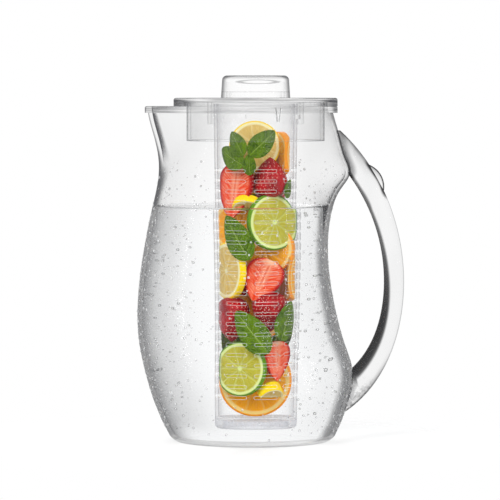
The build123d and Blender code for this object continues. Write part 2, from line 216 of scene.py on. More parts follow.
class WaterSettings(bpy.types.PropertyGroup):
    """Water in the jug and drops on its outside."""

    level: length_property("Level", "Height of the water above the table", WATER_LEVEL)
    meniscus: length_property("Meniscus", "How far the water climbs at the wall", 0.0012)
    bend: FloatProperty(name="Bend", description="How strongly the water bends light", default=1.09)
    drop_count: IntProperty(
        name="Drops", description="Drops to a square metre where it is wet", default=200000
    )
    drop_small: length_property("Smallest drop", "Radius of the smallest drops", 0.00014)
    drop_large: length_property("Largest drop", "Radius of the largest drops", 0.0011)
    drop_seed: IntProperty(name="Drop seed", description="Seed of the scattered drops", default=7)


class FruitSettings(bpy.types.PropertyGroup):
    """Colours of the fruit and leaves."""

    lime_flesh: colour_property("Lime flesh", "Light flesh of a lime", (0.56, 0.50, 0.062))
    lime_deep: colour_property("Lime deep", "Deep flesh of a lime", (0.40, 0.365, 0.020))
    lime_pith: colour_property("Lime pith", "Pith of a lime", (0.70, 0.78, 0.30))
    lime_rind: colour_property("Lime rind", "Rind of a lime", (0.11, 0.25, 0.010))
    lemon_flesh: colour_property("Lemon flesh", "Light flesh of a lemon", (0.75, 0.54, 0.18))
    lemon_deep: colour_property("Lemon deep", "Deep flesh of a lemon", (0.64, 0.42, 0.09))
    lemon_pith: colour_property("Lemon pith", "Pith of a lemon", (0.88, 0.79, 0.44))
    lemon_rind: colour_property("Lemon rind", "Rind of a lemon", (0.93, 0.63, 0.006))
    # The orange's flesh colours are painted lighter than the flesh itself, a painted light that makes up for
    # the shade the slices lie in.
    orange_flesh: colour_property("Orange flesh", "Light flesh of an orange", (0.98, 0.46, 0.012))
    orange_deep: colour_property("Orange deep", "Deep flesh of an orange", (0.90, 0.32, 0.006))
    orange_pith: colour_property("Orange pith", "Pith of an orange", (0.93, 0.66, 0.22))
    orange_rind: colour_property("Orange rind", "Rind of an orange", (0.93, 0.31, 0.003))
    berry_skin: colour_property("Berry skin", "Skin of a strawberry", (0.36, 0.004, 0.006))
    berry_flesh: colour_property("Berry flesh", "Flesh of a strawberry", (0.76, 0.042, 0.004))
    berry_heart: colour_property("Berry heart", "Pale heart of a strawberry", (0.90, 0.46, 0.27))
    # The seeds' pale colour is partly a painted highlight: they also stand in for small glints on the skin.
    berry_seed: colour_property("Berry seed", "Seeds of a strawberry", (0.80, 0.30, 0.20))
    leaf_face: colour_property("Leaf", "Face of a mint leaf", (0.100, 0.185, 0.003))
    # Leaf deep is tone as well as painted shade: the leaf darkens towards it in the bump's hollows.
    leaf_deep: colour_property("Leaf deep", "Hollows of a mint leaf", (0.026, 0.066, 0.002))
    leaf_vein: colour_property("Leaf vein", "Veins of a mint leaf", (0.32, 0.44, 0.08))


class Flow:
    """A value in a node tree. Arithmetic on it adds Math nodes."""

    def __init__(self, tree, socket):
        self.tree = tree
        self.socket = socket

    def math(self, operation, *values):
        node = add_node(self.tree, "ShaderNodeMath", {"operation": operation}, dict(enumerate(values)))
        return Flow(self.tree, node.outputs[0])

    def __add__(self, other):
        return self.math("ADD", self, other)

    def __sub__(self, other):
        return self.math("SUBTRACT", self, other)

    def __rsub__(self, other):
        return self.math("SUBTRACT", other, self)

    def __mul__(self, other):
        return self.math("MULTIPLY", self, other)

    def __truediv__(self, other):
        return self.math("DIVIDE", self, other)

    def __pow__(self, other):
        return self.math("POWER", self, other)

    __radd__ = __add__
    __rmul__ = __mul__

    def fraction(self):
        return self.math("FRACT", self)

    def size(self):
        return self.math("ABSOLUTE", self)

    def least(self, other):
        return self.math("MINIMUM", self, other)

    def most(self, other):
        return self.math("MAXIMUM", self, other)

    def step(self, low, high):
        """Rises smoothly from 0 at low to 1 at high."""
        span = {"Value": self, "From Min": low, "From Max": high}
        node = add_node(self.tree, "ShaderNodeMapRange", {"interpolation_type": "SMOOTHSTEP"}, span)
        return Flow(self.tree, node.outputs["Result"])


def add_node(tree, kind, settings=None, sockets=None):
    """Adds a node to a tree: its settings first, then the values or links of its sockets."""
    node = tree.nodes.new(kind)
    for key, value in (settings or {}).items():
        setattr(node, key, value)
    by_identifier = {slot.identifier: slot for slot in node.inputs}
    for key, value in (sockets or {}).items():
        slot = by_identifier.get(key) or node.inputs[key]
        value = value.socket if isinstance(value, Flow) else value
        if isinstance(value, bpy.types.NodeSocket):
            tree.links.new(value, slot)
        else:
            slot.default_value = value
    return node


class Finish:
    """A material and the nodes that make it."""

    def __init__(self, name):
        self.material = bpy.data.materials.new(name)
        self.material.use_nodes = True
        self.tree = self.material.node_tree
        self.tree.nodes.clear()

    def node(self, kind, settings=None, sockets=None):
        return add_node(self.tree, "ShaderNode" + kind, settings, sockets)

    def flow(self, node, output=0):
        return Flow(self.tree, node.outputs[output])

    def coordinates(self, kind="Object"):
        return self.node("TexCoord").outputs[kind]

    def marked(self, name):
        """A mark that the mesh carries."""
        return self.flow(self.node("Attribute", {"attribute_name": name}), "Fac")

    def facing(self, **sockets):
        """Rises from 0 where the surface, or a normal given for it, faces the view to 1 edge on."""
        return self.flow(self.node("LayerWeight", None, {"Blend": 0.5, **sockets}), "Facing")

    def edge_on(self, low, high):
        """Rises smoothly where the surface is seen edge on."""
        return self.facing().step(low, high)

    def noise(self, vector, scale, detail=3.0):
        sockets = {"Vector": vector, "Scale": scale, "Detail": detail}
        return self.flow(self.node("TexNoise", None, sockets), "Fac")

    def cells(self, vector, scale):
        return self.flow(self.node("TexVoronoi", None, {"Vector": vector, "Scale": scale}), "Distance")

    def parts(self, vector):
        node = self.node("SeparateXYZ", None, {"Vector": vector})
        return [self.flow(node, i) for i in range(3)]

    def joined(self, x, y, z=0.0):
        return self.node("CombineXYZ", None, {"X": x, "Y": y, "Z": z}).outputs[0]

    def blend(self, factor, first, second):
        """Mixes two colours."""
        first = (*first, 1) if isinstance(first, tuple) else first
        second = (*second, 1) if isinstance(second, tuple) else second
        sockets = {"Factor_Float": factor, "A_Color": first, "B_Color": second}
        node = self.node("Mix", {"data_type": "RGBA"}, sockets)
        return [slot for slot in node.outputs if slot.identifier == "Result_Color"][0]

    def bump(self, height, strength, distance):
        sockets = {"Height": height, "Strength": strength, "Distance": distance}
        return self.node("Bump", None, sockets).outputs[0]

    def principled(self, **sockets):
        named = {key.replace("_", " "): value for key, value in sockets.items()}
        return self.node("BsdfPrincipled", None, named).outputs[0]

    def mixed(self, factor, first, second):
        return self.node("MixShader", None, {"Fac": factor, 1: first, 2: second}).outputs[0]

    def through(self, colour=(1, 1, 1, 1)):
        """A surface that lets the view pass."""
        return self.node("BsdfTransparent", None, {"Color": colour}).outputs[0]

    def close(self, surface):
        """Gives the material its surface."""
        self.node("OutputMaterial", None, {"Surface": surface})
        return self.material


def plain(colour):
    """A settings colour as a tuple."""
    return tuple(colour)


def shaded(colour, factor):
    """A colour made lighter or darker."""
    return tuple(min(1.0, channel * factor) for channel in colour)


def clamped(value):
    """A share kept between 0 and 1."""
    return min(1.0, max(0.0, value))


def acrylic(name, shade, clear, haze, edge, detail, band=(0.60, 0.88)):
    """Clear moulded plastic: nearly clear seen square on, hazier at a slant and dark along its silhouette,
    under a thin gloss. The haze and the dark silhouette are painted shade, a dark diffuse colour standing in
    for what the walls refract. A moulding's own detail changes the opacity and the painted shade."""
    finish = Finish(name)
    facing = finish.facing()
    smear = finish.noise(finish.coordinates(), 26.0, 2.0)
    opacity = (clear + facing * haze) * (0.7 + smear * 0.6) + facing.step(*band) * edge
    tone = finish.blend(smear, shaded(shade, 0.85), shaded(shade, 1.15))
    opacity, tone = detail(finish, opacity, tone)
    # The body's dark colour is painted shade, shown where the opacity rises.
    body = finish.principled(Base_Color=tone, Roughness=0.5, Specular_IOR_Level=0.0)
    shell = finish.mixed(opacity.least(1.0), finish.through(), body)
    gloss = finish.principled(Base_Color=(1, 1, 1, 1), Metallic=1.0, Roughness=0.06)
    return finish.close(finish.mixed(0.001 + facing**5 * 0.06, shell, gloss))


def turned_from(finish, axis):
    """Rises from 0 where the view runs along an axis of the piece to 1 where it runs square to it."""
    settings = {"vector_type": "NORMAL", "convert_from": "OBJECT", "convert_to": "WORLD"}
    turned = finish.node("VectorTransform", settings, {"Vector": axis}).outputs[0]
    straight = finish.node("VectorMath", {"operation": "NORMALIZE"}, {0: turned}).outputs[0]
    return finish.facing(Normal=straight)


def painted_level_streaks(finish):
    """Long level streaks of painted shade, as a thick moulded edge shows them where it refracts."""
    x, y, z = finish.parts(finish.coordinates())
    return finish.noise(finish.joined(x * 22.0, y * 22.0, z * 620.0), 1.0, 2.0).step(0.42, 0.64)


def jug_painted_shade(finish, opacity, tone):
    """Painted shade on the jug, standing in for what its walls refract: streaks in the rim, walls that
    darken edge on, softly where water stands behind them, with an inner side that shows only in the spout
    and under the shoulder, a dark spout tip and a thin dark line at the foot; and a clear floor."""
    x, _, z = finish.parts(finish.coordinates())
    _, _, up = finish.parts(finish.coordinates("Normal"))
    inner = finish.marked("inner")
    rim = z.step(RIM_FOOT - 0.4 * MM, RIM_FOOT + 0.2 * MM)
    right = x.step(-5 * MM, 5 * MM)
    left = 1 - right
    dry = z.step(*WATERLINE)
    wet = 1 - dry
    spout = left * z.step(*SPOUT_RISE)
    above = z.step(*SHOULDER)
    shown = dry * (spout + right * (1 - above) * 0.7)
    # Painted shade: the walls, necks and outline darken where the walls are seen edge on.
    wall = inner * shown * finish.edge_on(0.54, 0.88) * (1 - rim) * 0.42
    soft = left * finish.edge_on(0.34, 0.82) + right * finish.edge_on(0.46, 0.62)
    left_neck = left * (1 - spout) * finish.edge_on(0.54, 0.86) * 0.48
    right_neck = right * finish.edge_on(0.36, 0.80) * (0.26 - above * 0.12)
    outline = finish.edge_on(0.60, 0.76) * 0.36
    outer = wet * soft * 0.45 + dry * (outline + (left_neck + right_neck) * (1 - rim))
    edges = outer * (1 - inner) + inner * shown * outline
    # Painted shade: the spout's tip is drawn dark, and a thin dark line runs round the foot.
    from_tip = x - SPOUT_TIP_X + (z - SPOUT_TIP_Z) * SPOUT_SLOPE
    tip = inner * spout * (1 - rim) * (1 - from_tip.step(0.6 * MM, 3.6 * MM)) * 0.62
    floor = (1 - z.step(5 * MM, 9 * MM)) * up.size().step(0.5, 0.85)
    foot = (1 - z.step(0.6 * MM, 1.8 * MM)) * (1 - inner) * 0.16
    lip = 1 - x.step(*SPOUT_LIP) + x.step(*HANDLE_LIP)
    streaks = rim * (0.02 + lip * 0.06 + painted_level_streaks(finish) * (0.08 + lip * 0.24))
    clear = opacity * (1 - inner * wet * 0.8)
    return (clear + edges + wall + tip + streaks) * (1 - floor * 0.75) + foot, tone


def lid_painted_shade(finish, opacity, tone):
    """Painted shade in the lid's deep edge: dark streaks, darkest near its top and at its ends, standing in
    for what the thick edge refracts, and a boss that hardly shows.
    """
    x, y, z = finish.parts(finish.coordinates())
    reach = (x * x + y * y) ** 0.5
    edge = reach.step(LID_RADIUS - 1.8 * MM, LID_RADIUS - 0.6 * MM)
    upper = z.step(LID_TOP - 3.6 * MM, LID_TOP - 2.4 * MM)
    boss = z.step(LID_TOP + 0.1 * MM, LID_TOP + 0.4 * MM)
    side = 1 + finish.edge_on(0.25, 0.70) * 0.7
    top = z.step(LID_TOP - 2.0 * MM, LID_TOP - 1.0 * MM)
    band = z.step(LID_TOP - 6.4 * MM, LID_TOP - 5.2 * MM) * (1 - top)
    ends = band * finish.edge_on(0.26, 0.56) * (0.30 - x.step(-20 * MM, 20 * MM) * 0.16)
    dark = edge * ((0.05 + painted_level_streaks(finish) * (0.12 + upper * 0.30)) * side + ends)
    return opacity * (1 - boss * 0.85) + dark, tone


def knob_painted_shade(finish, opacity, tone):
    """A knob with a bore that hardly shows, and painted shade: a darker crown, a dark ring where its dish
    would show through the wall, and a level line.
    """
    x, _, z = finish.parts(finish.coordinates())
    aside = (x - DISH_SHIFT) / DISH_HALF_WIDTH
    above = (z - DISH_HEIGHT) / DISH_HALF_DEPTH
    lens = aside * aside + above * above
    dish = lens.step(0.35, 0.75) * (1 - lens.step(0.95, 1.5)) * 0.28
    crown = z.step(KNOB_CROWN - 3.2 * MM, KNOB_CROWN - 0.4 * MM) * 0.22
    line = (1 - (z - KNOB_LINE).size().step(0.1 * MM, 0.5 * MM)) * 0.10
    return (opacity + dish + crown + line) * (1 - finish.marked("inner") * 0.9), tone


def skirt_painted_shade(finish, opacity, tone):
    """Painted shade: a dark line along the skirt's foot, strongest at its sides."""
    _, _, z = finish.parts(finish.coordinates())
    foot = 1 - z.step(SKIRT_FOOT + 0.3 * MM, SKIRT_FOOT + 0.9 * MM)
    line = foot * (0.06 + finish.edge_on(0.1, 0.6) * 0.3)
    return opacity * (1 - finish.marked("inner") * 0.7) + line, tone


def key_painted_outline(finish, opacity, tone):
    """A painted dark outline of the arrow key on the socket, where its moulded edges show as shade."""
    x, y, z = finish.parts(finish.coordinates())
    along = heading(KEY_TURN + 90)
    aside = (x * along.x + y * along.y).size()
    rise = (z - KEY_LOW) / (KEY_HIGH - KEY_LOW)
    half = KEY_TIP_HALF_WIDTH + rise * (KEY_HALF_WIDTH - KEY_TIP_HALF_WIDTH)
    line = 1 - (aside - half).size().step(0.15 * MM, 0.5 * MM)
    outer = (x * x + y * y) ** 0.5
    front = (1 - y.step(-2 * MM, 0)) * outer.step(SOCKET_RADIUS - 1.2 * MM, SOCKET_RADIUS - 0.6 * MM)
    level = z.step(KEY_LOW - 0.3 * MM, KEY_LOW) * (1 - z.step(KEY_HIGH, KEY_HIGH + 0.3 * MM))
    return opacity + line * front * level * 0.5, tone


def foot_frost(finish, opacity, tone):
    """A frosted foot on the infuser tube, and slots whose sides hardly show."""
    _, _, z = finish.parts(finish.coordinates())
    _, _, up = finish.parts(finish.coordinates("Normal"))
    grain = finish.noise(finish.coordinates(), 320.0, 3.0)
    frost = (1 - z.step(TUBE_FOOT + 5 * MM, TUBE_FOOT + 9 * MM)) * (0.6 + grain * 0.6)
    slots = z.step(TUBE_FOOT + 12 * MM, TUBE_FOOT + 16 * MM) * up.size().step(0.4, 0.8)
    # Painted shade: the tube darker still where it is seen edge on.
    kept = (opacity + finish.edge_on(0.74, 0.94) * 0.24) * (1 - slots * 0.9)
    return kept + frost * 0.36, finish.blend(frost.least(1.0), tone, (0.72, 0.72, 0.76))


def handle_painted_shade(finish, opacity, tone):
    """Painted shade in the handle: the dark band that a thick bow shows along its inner side, widest low
    down, the shade at both of its ends and where it meets the jug, and the outline of its thumb rest, all
    standing in for what the bow refracts; with the rough bond at its foot. They show from its broad sides."""
    place = finish.coordinates()
    x, _, z = finish.parts(place)
    across = finish.marked("across")
    gap = finish.marked("gap")
    low = 1 - z.step(*BAND_NARROWS)
    top = z.step(*BOW_TOP)
    foot = 1 - z.step(*BOW_FOOT)
    inward = 1 - (across - low * 0.23).step(0.07, 0.20)
    band = inward * (0.58 + low * 0.26) * (1 - top * 0.75) * (0.15 + z.step(*BAND_START) * 0.85)
    joint_shade = z.step(*UPPER_JOINT) * (1 - gap.step(1.0 * MM, 6.0 * MM)) * 0.40
    line = across.step(0.84, 1.0) * 0.30
    flanks = joint_shade + top * (across.step(0.45, 1.0) * 0.22 + line) + foot * line
    rest = across.step(0.70, 0.84) * z.step(*THUMB_REST_FOOT) * (1 - z.step(*THUMB_REST_TOP))
    outline = rest * finish.edge_on(0.12, 0.55) * 0.8
    sheen = finish.noise(finish.joined(x * 60.0, z * 20.0), 1.0, 2.0)
    bond = (1 - z.step(*ROUGH_BOND)) * finish.noise(place, 260.0, 4.0).step(0.48, 0.58)
    broadside = 1 - turned_from(finish, (0, 1, 0)).step(0.25, 0.75) * 0.85
    dark = (band + flanks + outline + bond * 0.28).least(0.85) * broadside
    outside = 0.05 + gap.step(-1.5 * MM, 0) * 0.95
    return (opacity + dark + sheen * 0.07) * outside, finish.blend(dark, tone, (0.02, 0.02, 0.02))


def mark(piece, name, values):
    """Gives each point of a mesh a number."""
    attribute = piece.data.attributes.new(name, "FLOAT", "POINT")
    attribute.data.foreach_set("value", values)


def mark_inner(piece, middle):
    """Marks the points of a hollow moulding whose surface looks towards its middle."""
    shares = []
    for vertex in piece.data.vertices:
        outward = (vertex.co.x - middle) * vertex.normal.x + vertex.co.y * vertex.normal.y
        shares.append(1.0 if outward < 0 else 0.0)
    mark(piece, "inner", shares)


def surface_of(piece):
    """A piece's surface, to be found along rays."""
    points = [vertex.co.copy() for vertex in piece.data.vertices]
    faces = [tuple(polygon.vertices) for polygon in piece.data.polygons]
    return BVHTree.FromPolygons(points, faces)


def jug_walls():
    """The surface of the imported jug."""
    return surface_of(frame["nodes"]["pitcher_body"])


def mark_handle(piece):
    """Marks each point of the handle with its share of the way from the bow's inner to its outer side, and
    with its level gap to the jug's outline, which is less than nothing where the bond hides it."""
    bow = surface_of(piece)
    jug = jug_walls()
    shares = []
    gaps = []
    for vertex in piece.data.vertices:
        point = vertex.co
        level = Vector((point.x, 0, point.z)) - BOW_CENTRE
        away = level.normalized()
        inner = bow.ray_cast(BOW_CENTRE, away)[3]
        outer = bow.ray_cast(BOW_CENTRE + away * OUTSIDE, -away)[3]
        if inner is None or OUTSIDE - outer <= inner:
            shares.append(0.5)
        else:
            shares.append((level.length - inner) / (OUTSIDE - outer - inner))
        outline = jug.ray_cast(Vector((OUTSIDE, 0, point.z)), Vector((-1, 0, 0)))[0]
        gaps.append(point.x - outline.x)
    mark(piece, "across", shares)
    mark(piece, "gap", gaps)


def smooth_copy(node, name, material):
    """A welded, smooth-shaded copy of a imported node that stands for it."""
    source = frame["nodes"][node]
    welded = bmesh.new()
    welded.from_mesh(source.data)
    bmesh.ops.remove_doubles(welded, verts=welded.verts, dist=MOULDING_WELD)
    points = [vertex.co.copy() for vertex in welded.verts]
    welded.verts.index_update()
    faces = [[vertex.index for vertex in face.verts] for face in welded.faces]
    welded.free()
    piece = mesh_piece(name, points, faces, [material])
    piece.data.set_sharp_from_angle(angle=math.radians(SHARP_ANGLE))
    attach(piece, source["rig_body"])
    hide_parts(node)
    return piece


def mesh_piece(name, points, faces, materials, uvs=None):
    """A smooth-shaded mesh object at the origin. UVs are given for each point."""
    mesh = bpy.data.meshes.new(name)
    mesh.from_pydata([tuple(point) for point in points], [], faces)
    mesh.polygons.foreach_set("use_smooth", [True] * len(mesh.polygons))
    if uvs is not None:
        layer = mesh.uv_layers.new(name="UVMap")
        for loop in mesh.loops:
            layer.data[loop.index].uv = uvs[loop.vertex_index]
    for material in materials:
        mesh.materials.append(material)
    piece = bpy.data.objects.new(name, mesh)
    bpy.context.scene.collection.objects.link(piece)
    return piece


def weld(piece, outwards=True):
    """Closes seams and poles, and turns the faces outwards."""
    welded = bmesh.new()
    welded.from_mesh(piece.data)
    bmesh.ops.remove_doubles(welded, verts=welded.verts, dist=PIECE_WELD)
    if outwards:
        bmesh.ops.recalc_face_normals(welded, faces=welded.faces)
    welded.to_mesh(piece.data)
    welded.free()


def grid_faces(rows, columns, wrap=True, start=0):
    """Quads over a grid of points, row by row."""
    faces = []
    across = columns if wrap else columns - 1
    for row in range(rows - 1):
        for column in range(across):
            a = start + row * columns + column
            b = start + row * columns + (column + 1) % columns
            faces.append((a, b, b + columns, a + columns))
    return faces


def heading(turn):
    """The level direction at an angle from the front, turning right, in degrees."""
    return Vector((math.sin(math.radians(turn)), -math.cos(math.radians(turn)), 0))


def tube_inner(height):
    """The inside radius of the infuser tube at a height."""
    share = (height - TUBE_FOOT) / (TUBE_TOP - TUBE_FOOT)
    return TUBE_FOOT_RADIUS + share * (TUBE_TOP_RADIUS - TUBE_FOOT_RADIUS) - TUBE_WALL


def kept_in_tube(point):
    """A point drawn in to the tube's hollow, further at the front and back, where the leaves lie."""
    reach = max(math.hypot(point.x, point.y), NEAR_AXIS)
    front = clamped(abs(point.y) / reach / FRONT_SHARE)
    limit = tube_inner(point.z) - SIDE_INSET - (FRONT_INSET - SIDE_INSET) * front
    share = min(1.0, limit / reach)
    return Vector((point.x * share, point.y * share, max(point.z, TUBE_FLOOR_TOP)))


def spot(across, deep, up):
    """A place in the tube: across and deep in shares of its hollow's radius, up in shares of its depth."""
    radius = TUBE_FOOT_RADIUS - TUBE_WALL
    return Vector((across * radius, deep * radius, TUBE_FLOOR_TOP + up * (TUBE_TOP - TUBE_FLOOR_TOP)))


def axes(yaw, tilt=0.0):
    """Right, up and outward directions of a face that looks to the front, turned right and tilted up."""
    right = heading(yaw + 90)
    level = heading(yaw)
    normal = level * math.cos(math.radians(tilt)) + Vector((0, 0, math.sin(math.radians(tilt))))
    return right, normal.cross(right), normal


def tree_of(name, inputs):
    """A geometry node tree with named inputs, a material among them."""
    tree = bpy.data.node_groups.new(name, "GeometryNodeTree")
    tree.interface.new_socket("Geometry", in_out="INPUT", socket_type="NodeSocketGeometry")
    for label, kind in {**inputs, "Material": "Material"}.items():
        tree.interface.new_socket(label, in_out="INPUT", socket_type="NodeSocket" + kind)
    tree.interface.new_socket("Geometry", in_out="OUTPUT", socket_type="NodeSocketGeometry")
    source = tree.nodes.new("NodeGroupInput")
    target = tree.nodes.new("NodeGroupOutput")
    return tree, source, target


def set_on(tree, points, shape, rotation, **scale):
    """Sets copies of a shape on points and makes them real."""
    sockets = {"Points": points, "Instance": shape.outputs[0], "Rotation": rotation, **scale}
    placed = add_node(tree, "GeometryNodeInstanceOnPoints", None, sockets)
    return add_node(tree, "GeometryNodeRealizeInstances", None, {0: placed.outputs[0]}).outputs[0]


def end_tree(tree, source, target, geometry):
    """Closes a tree with smooth shading and its own material."""
    smooth = add_node(tree, "GeometryNodeSetShadeSmooth", None, {"Geometry": geometry})
    sockets = {"Geometry": smooth.outputs[0], "Material": source.outputs["Material"]}
    dressed = add_node(tree, "GeometryNodeSetMaterial", None, sockets)
    tree.links.new(dressed.outputs[0], target.inputs[0])
    return tree


def grown(piece, tree, values, name, material):
    """Runs a geometry tree on a piece and keeps the result as a plain mesh."""
    modifier = piece.modifiers.new(tree.name, "NODES")
    modifier.node_group = tree
    values = {**values, "Material": material}
    for item in tree.interface.items_tree:
        if item.item_type == "SOCKET" and item.in_out == "INPUT" and item.name in values:
            modifier[item.identifier] = values[item.name]
    evaluated = piece.evaluated_get(bpy.context.evaluated_depsgraph_get())
    mesh = bpy.data.meshes.new_from_object(evaluated)
    mesh.name = name
    bpy.data.objects.remove(piece)
    made = bpy.data.objects.new(name, mesh)
    bpy.context.scene.collection.objects.link(made)
    return made


def seeded_points(name, points, turns):
    """Loose points that carry a turn each, for a geometry tree to place copies on."""
    mesh = bpy.data.meshes.new(name)
    mesh.from_pydata([tuple(point) for point in points], [], [])
    attribute = mesh.attributes.new("turn", "FLOAT_VECTOR", "POINT")
    attribute.data.foreach_set("vector", [value for turn in turns for value in turn])
    piece = bpy.data.objects.new(name, mesh)
    bpy.context.scene.collection.objects.link(piece)
    return piece


def carried(tree, name, kind):
    """What each point of a mesh carries under a name."""
    settings = {"data_type": kind}
    return add_node(tree, "GeometryNodeInputNamedAttribute", settings, {"Name": name}).outputs[0]


def turn_socket(tree):
    """The turn that each point carries, as a rotation."""
    turn = carried(tree, "turn", "FLOAT_VECTOR")
    return add_node(tree, "FunctionNodeEulerToRotation", None, {0: turn}).outputs[0]


def looking(place, aim):
    """The turn of a lamp or camera at a place that looks at an aim."""
    return (aim - place).to_track_quat("-Z", "Y").to_euler()


class INFUSER_OT_stage(bpy.types.Operator):
    """Camera, lamps, backdrop and floor"""

    bl_idname = "infuser.stage"
    bl_label = "Stage"

    def execute(self, context):
        scene = context.scene
        stage = scene.infuser_stage
        scene.view_settings.view_transform = "Standard"
        scene.cycles.transparent_max_bounces = 64
        scene.cycles.transmission_bounces = 16
        self.add_camera(scene, stage)
        self.add_world(scene)
        lamps = [
            ("Key", (-0.55, -1.1, 1.05), (0.5, 0.9), 13.0),
            ("Fill", (0.7, -1.1, 0.55), (0.35, 0.9), 7.0),
            ("Back", (0.0, 1.3, 0.9), (1.2, 0.8), 7.0),
            ("Left strip", (-1.1, -0.49, 0.2), (0.09, 0.9), 3.0),
            ("Right strip", (1.1, -0.5, 0.2), (0.09, 0.9), 3.0),
        ]
        for name, place, size, power in lamps:
            self.add_lamp(scene, name, Vector(place), size, power)
        self.add_floor(stage)
        return {"FINISHED"}

    def add_camera(self, scene, stage):
        place = Vector((stage.aim_side, -stage.camera_distance, stage.camera_height))
        aim = Vector((stage.aim_side, 0, stage.aim_height))
        data = bpy.data.cameras.new("Camera")
        data.sensor_width = 36.0
        data.lens = data.sensor_width * (aim - place).length / stage.view_width
        data.clip_start = 0.05
        camera = bpy.data.objects.new("Camera", data)
        camera.location = place
        camera.rotation_euler = looking(place, aim)
        scene.collection.objects.link(camera)
        scene.camera = camera

    def add_world(self, scene):
        """White to the camera and in glass, plain soft light on the pieces."""
        world = bpy.data.worlds.new("Backdrop")
        world.use_nodes = True
        tree = world.node_tree
        tree.nodes.clear()
        light = add_node(tree, "ShaderNodeLightPath")
        rays = ("Is Camera Ray", "Is Transmission Ray", "Is Glossy Ray")
        camera, glass, gloss = [Flow(tree, light.outputs[ray]) for ray in rays]
        seen = camera.most(glass).most(gloss)
        tones = ({"Color": (0.95, 0.97, 1.0, 1), "Strength": 0.55}, {"Color": (1, 1, 1, 1), "Strength": 1.0})
        soft, white = [add_node(tree, "ShaderNodeBackground", None, tone).outputs[0] for tone in tones]
        mix = add_node(tree, "ShaderNodeMixShader", None, {"Fac": seen, 1: soft, 2: white})
        add_node(tree, "ShaderNodeOutputWorld", None, {"Surface": mix.outputs[0]})
        scene.world = world

    def add_lamp(self, scene, name, place, size, power):
        """A flat lamp that looks at the middle of the pitcher."""
        data = bpy.data.lights.new(name, "AREA")
        data.shape = "RECTANGLE"
        data.size, data.size_y = size
        data.energy = power
        lamp = bpy.data.objects.new(name, data)
        lamp.location = place
        middle = Vector((0, 0, 120 * MM))
        lamp.rotation_euler = looking(place, middle)
        scene.collection.objects.link(lamp)

    def add_floor(self, stage):
        """A pale disc that fades into the backdrop."""
        finish = Finish("Floor")
        x, y, _ = finish.parts(finish.coordinates())
        reach = (x * x + y * y) ** 0.5
        near = 0.5 - reach.step(0.2 * stage.floor_radius, stage.floor_radius) * 0.5
        grain = finish.noise(finish.coordinates(), 30.0)
        pale = plain(stage.floor_colour)
        colour = finish.blend(grain, shaded(pale, 0.985), pale)
        floor = finish.principled(Base_Color=colour, Roughness=0.6)
        material = finish.close(finish.mixed(near, finish.through(), floor))
        sides = 72
        ring = [heading(360 * i / sides) * stage.floor_radius for i in range(sides)]
        piece = mesh_piece("Floor", ring, [tuple(range(sides))], [material])


class INFUSER_OT_acrylic(bpy.types.Operator):
    """Clear mouldings: jug, handle, lid, socket and tube"""

    bl_idname = "infuser.acrylic"
    bl_label = "Acrylic mouldings"

    def execute(self, context):
        look = context.scene.infuser_acrylic
        edge, skirt_grey, tint = plain(look.edge_colour), plain(look.skirt_grey_colour), plain(look.tube_colour)
        jug = acrylic("Clear acrylic", edge, 0.006, 0.10, 0.0, jug_painted_shade)
        bow = acrylic("Handle acrylic", edge, 0.02, 0.05, 0.25, handle_painted_shade)
        lid = acrylic("Lid acrylic", edge, 0.006, 0.05, 0.34, lid_painted_shade, (0.35, 0.85))
        knob = acrylic("Knob acrylic", edge, 0.006, 0.04, 0.52, knob_painted_shade, (0.42, 0.80))
        socket = acrylic("Socket acrylic", edge, 0.004, 0.02, 0.10, key_painted_outline)
        skirt = acrylic("Smoked acrylic", skirt_grey, 0.04, 0.12, 0.50, skirt_painted_shade, (0.70, 0.92))
        tube = acrylic("Tube acrylic", tint, 0.006, 0.06, 0.12, foot_frost, (0.36, 0.78))
        mark_inner(smooth_copy("pitcher_body", "jug_shell", jug), JUG_MIDDLE)
        mark_handle(smooth_copy("handle", "handle_bow", bow))
        smooth_copy("lid_plate", "lid_disc", lid)
        mark_inner(smooth_copy("lid_knob", "lid_cap", knob), 0.0)
        mark_inner(smooth_copy("lid_skirt", "lid_ring", skirt), 0.0)
        smooth_copy("infuser_socket", "socket_ring", socket)
        smooth_copy("infuser_tube", "slotted_tube", tube)
        return {"FINISHED"}


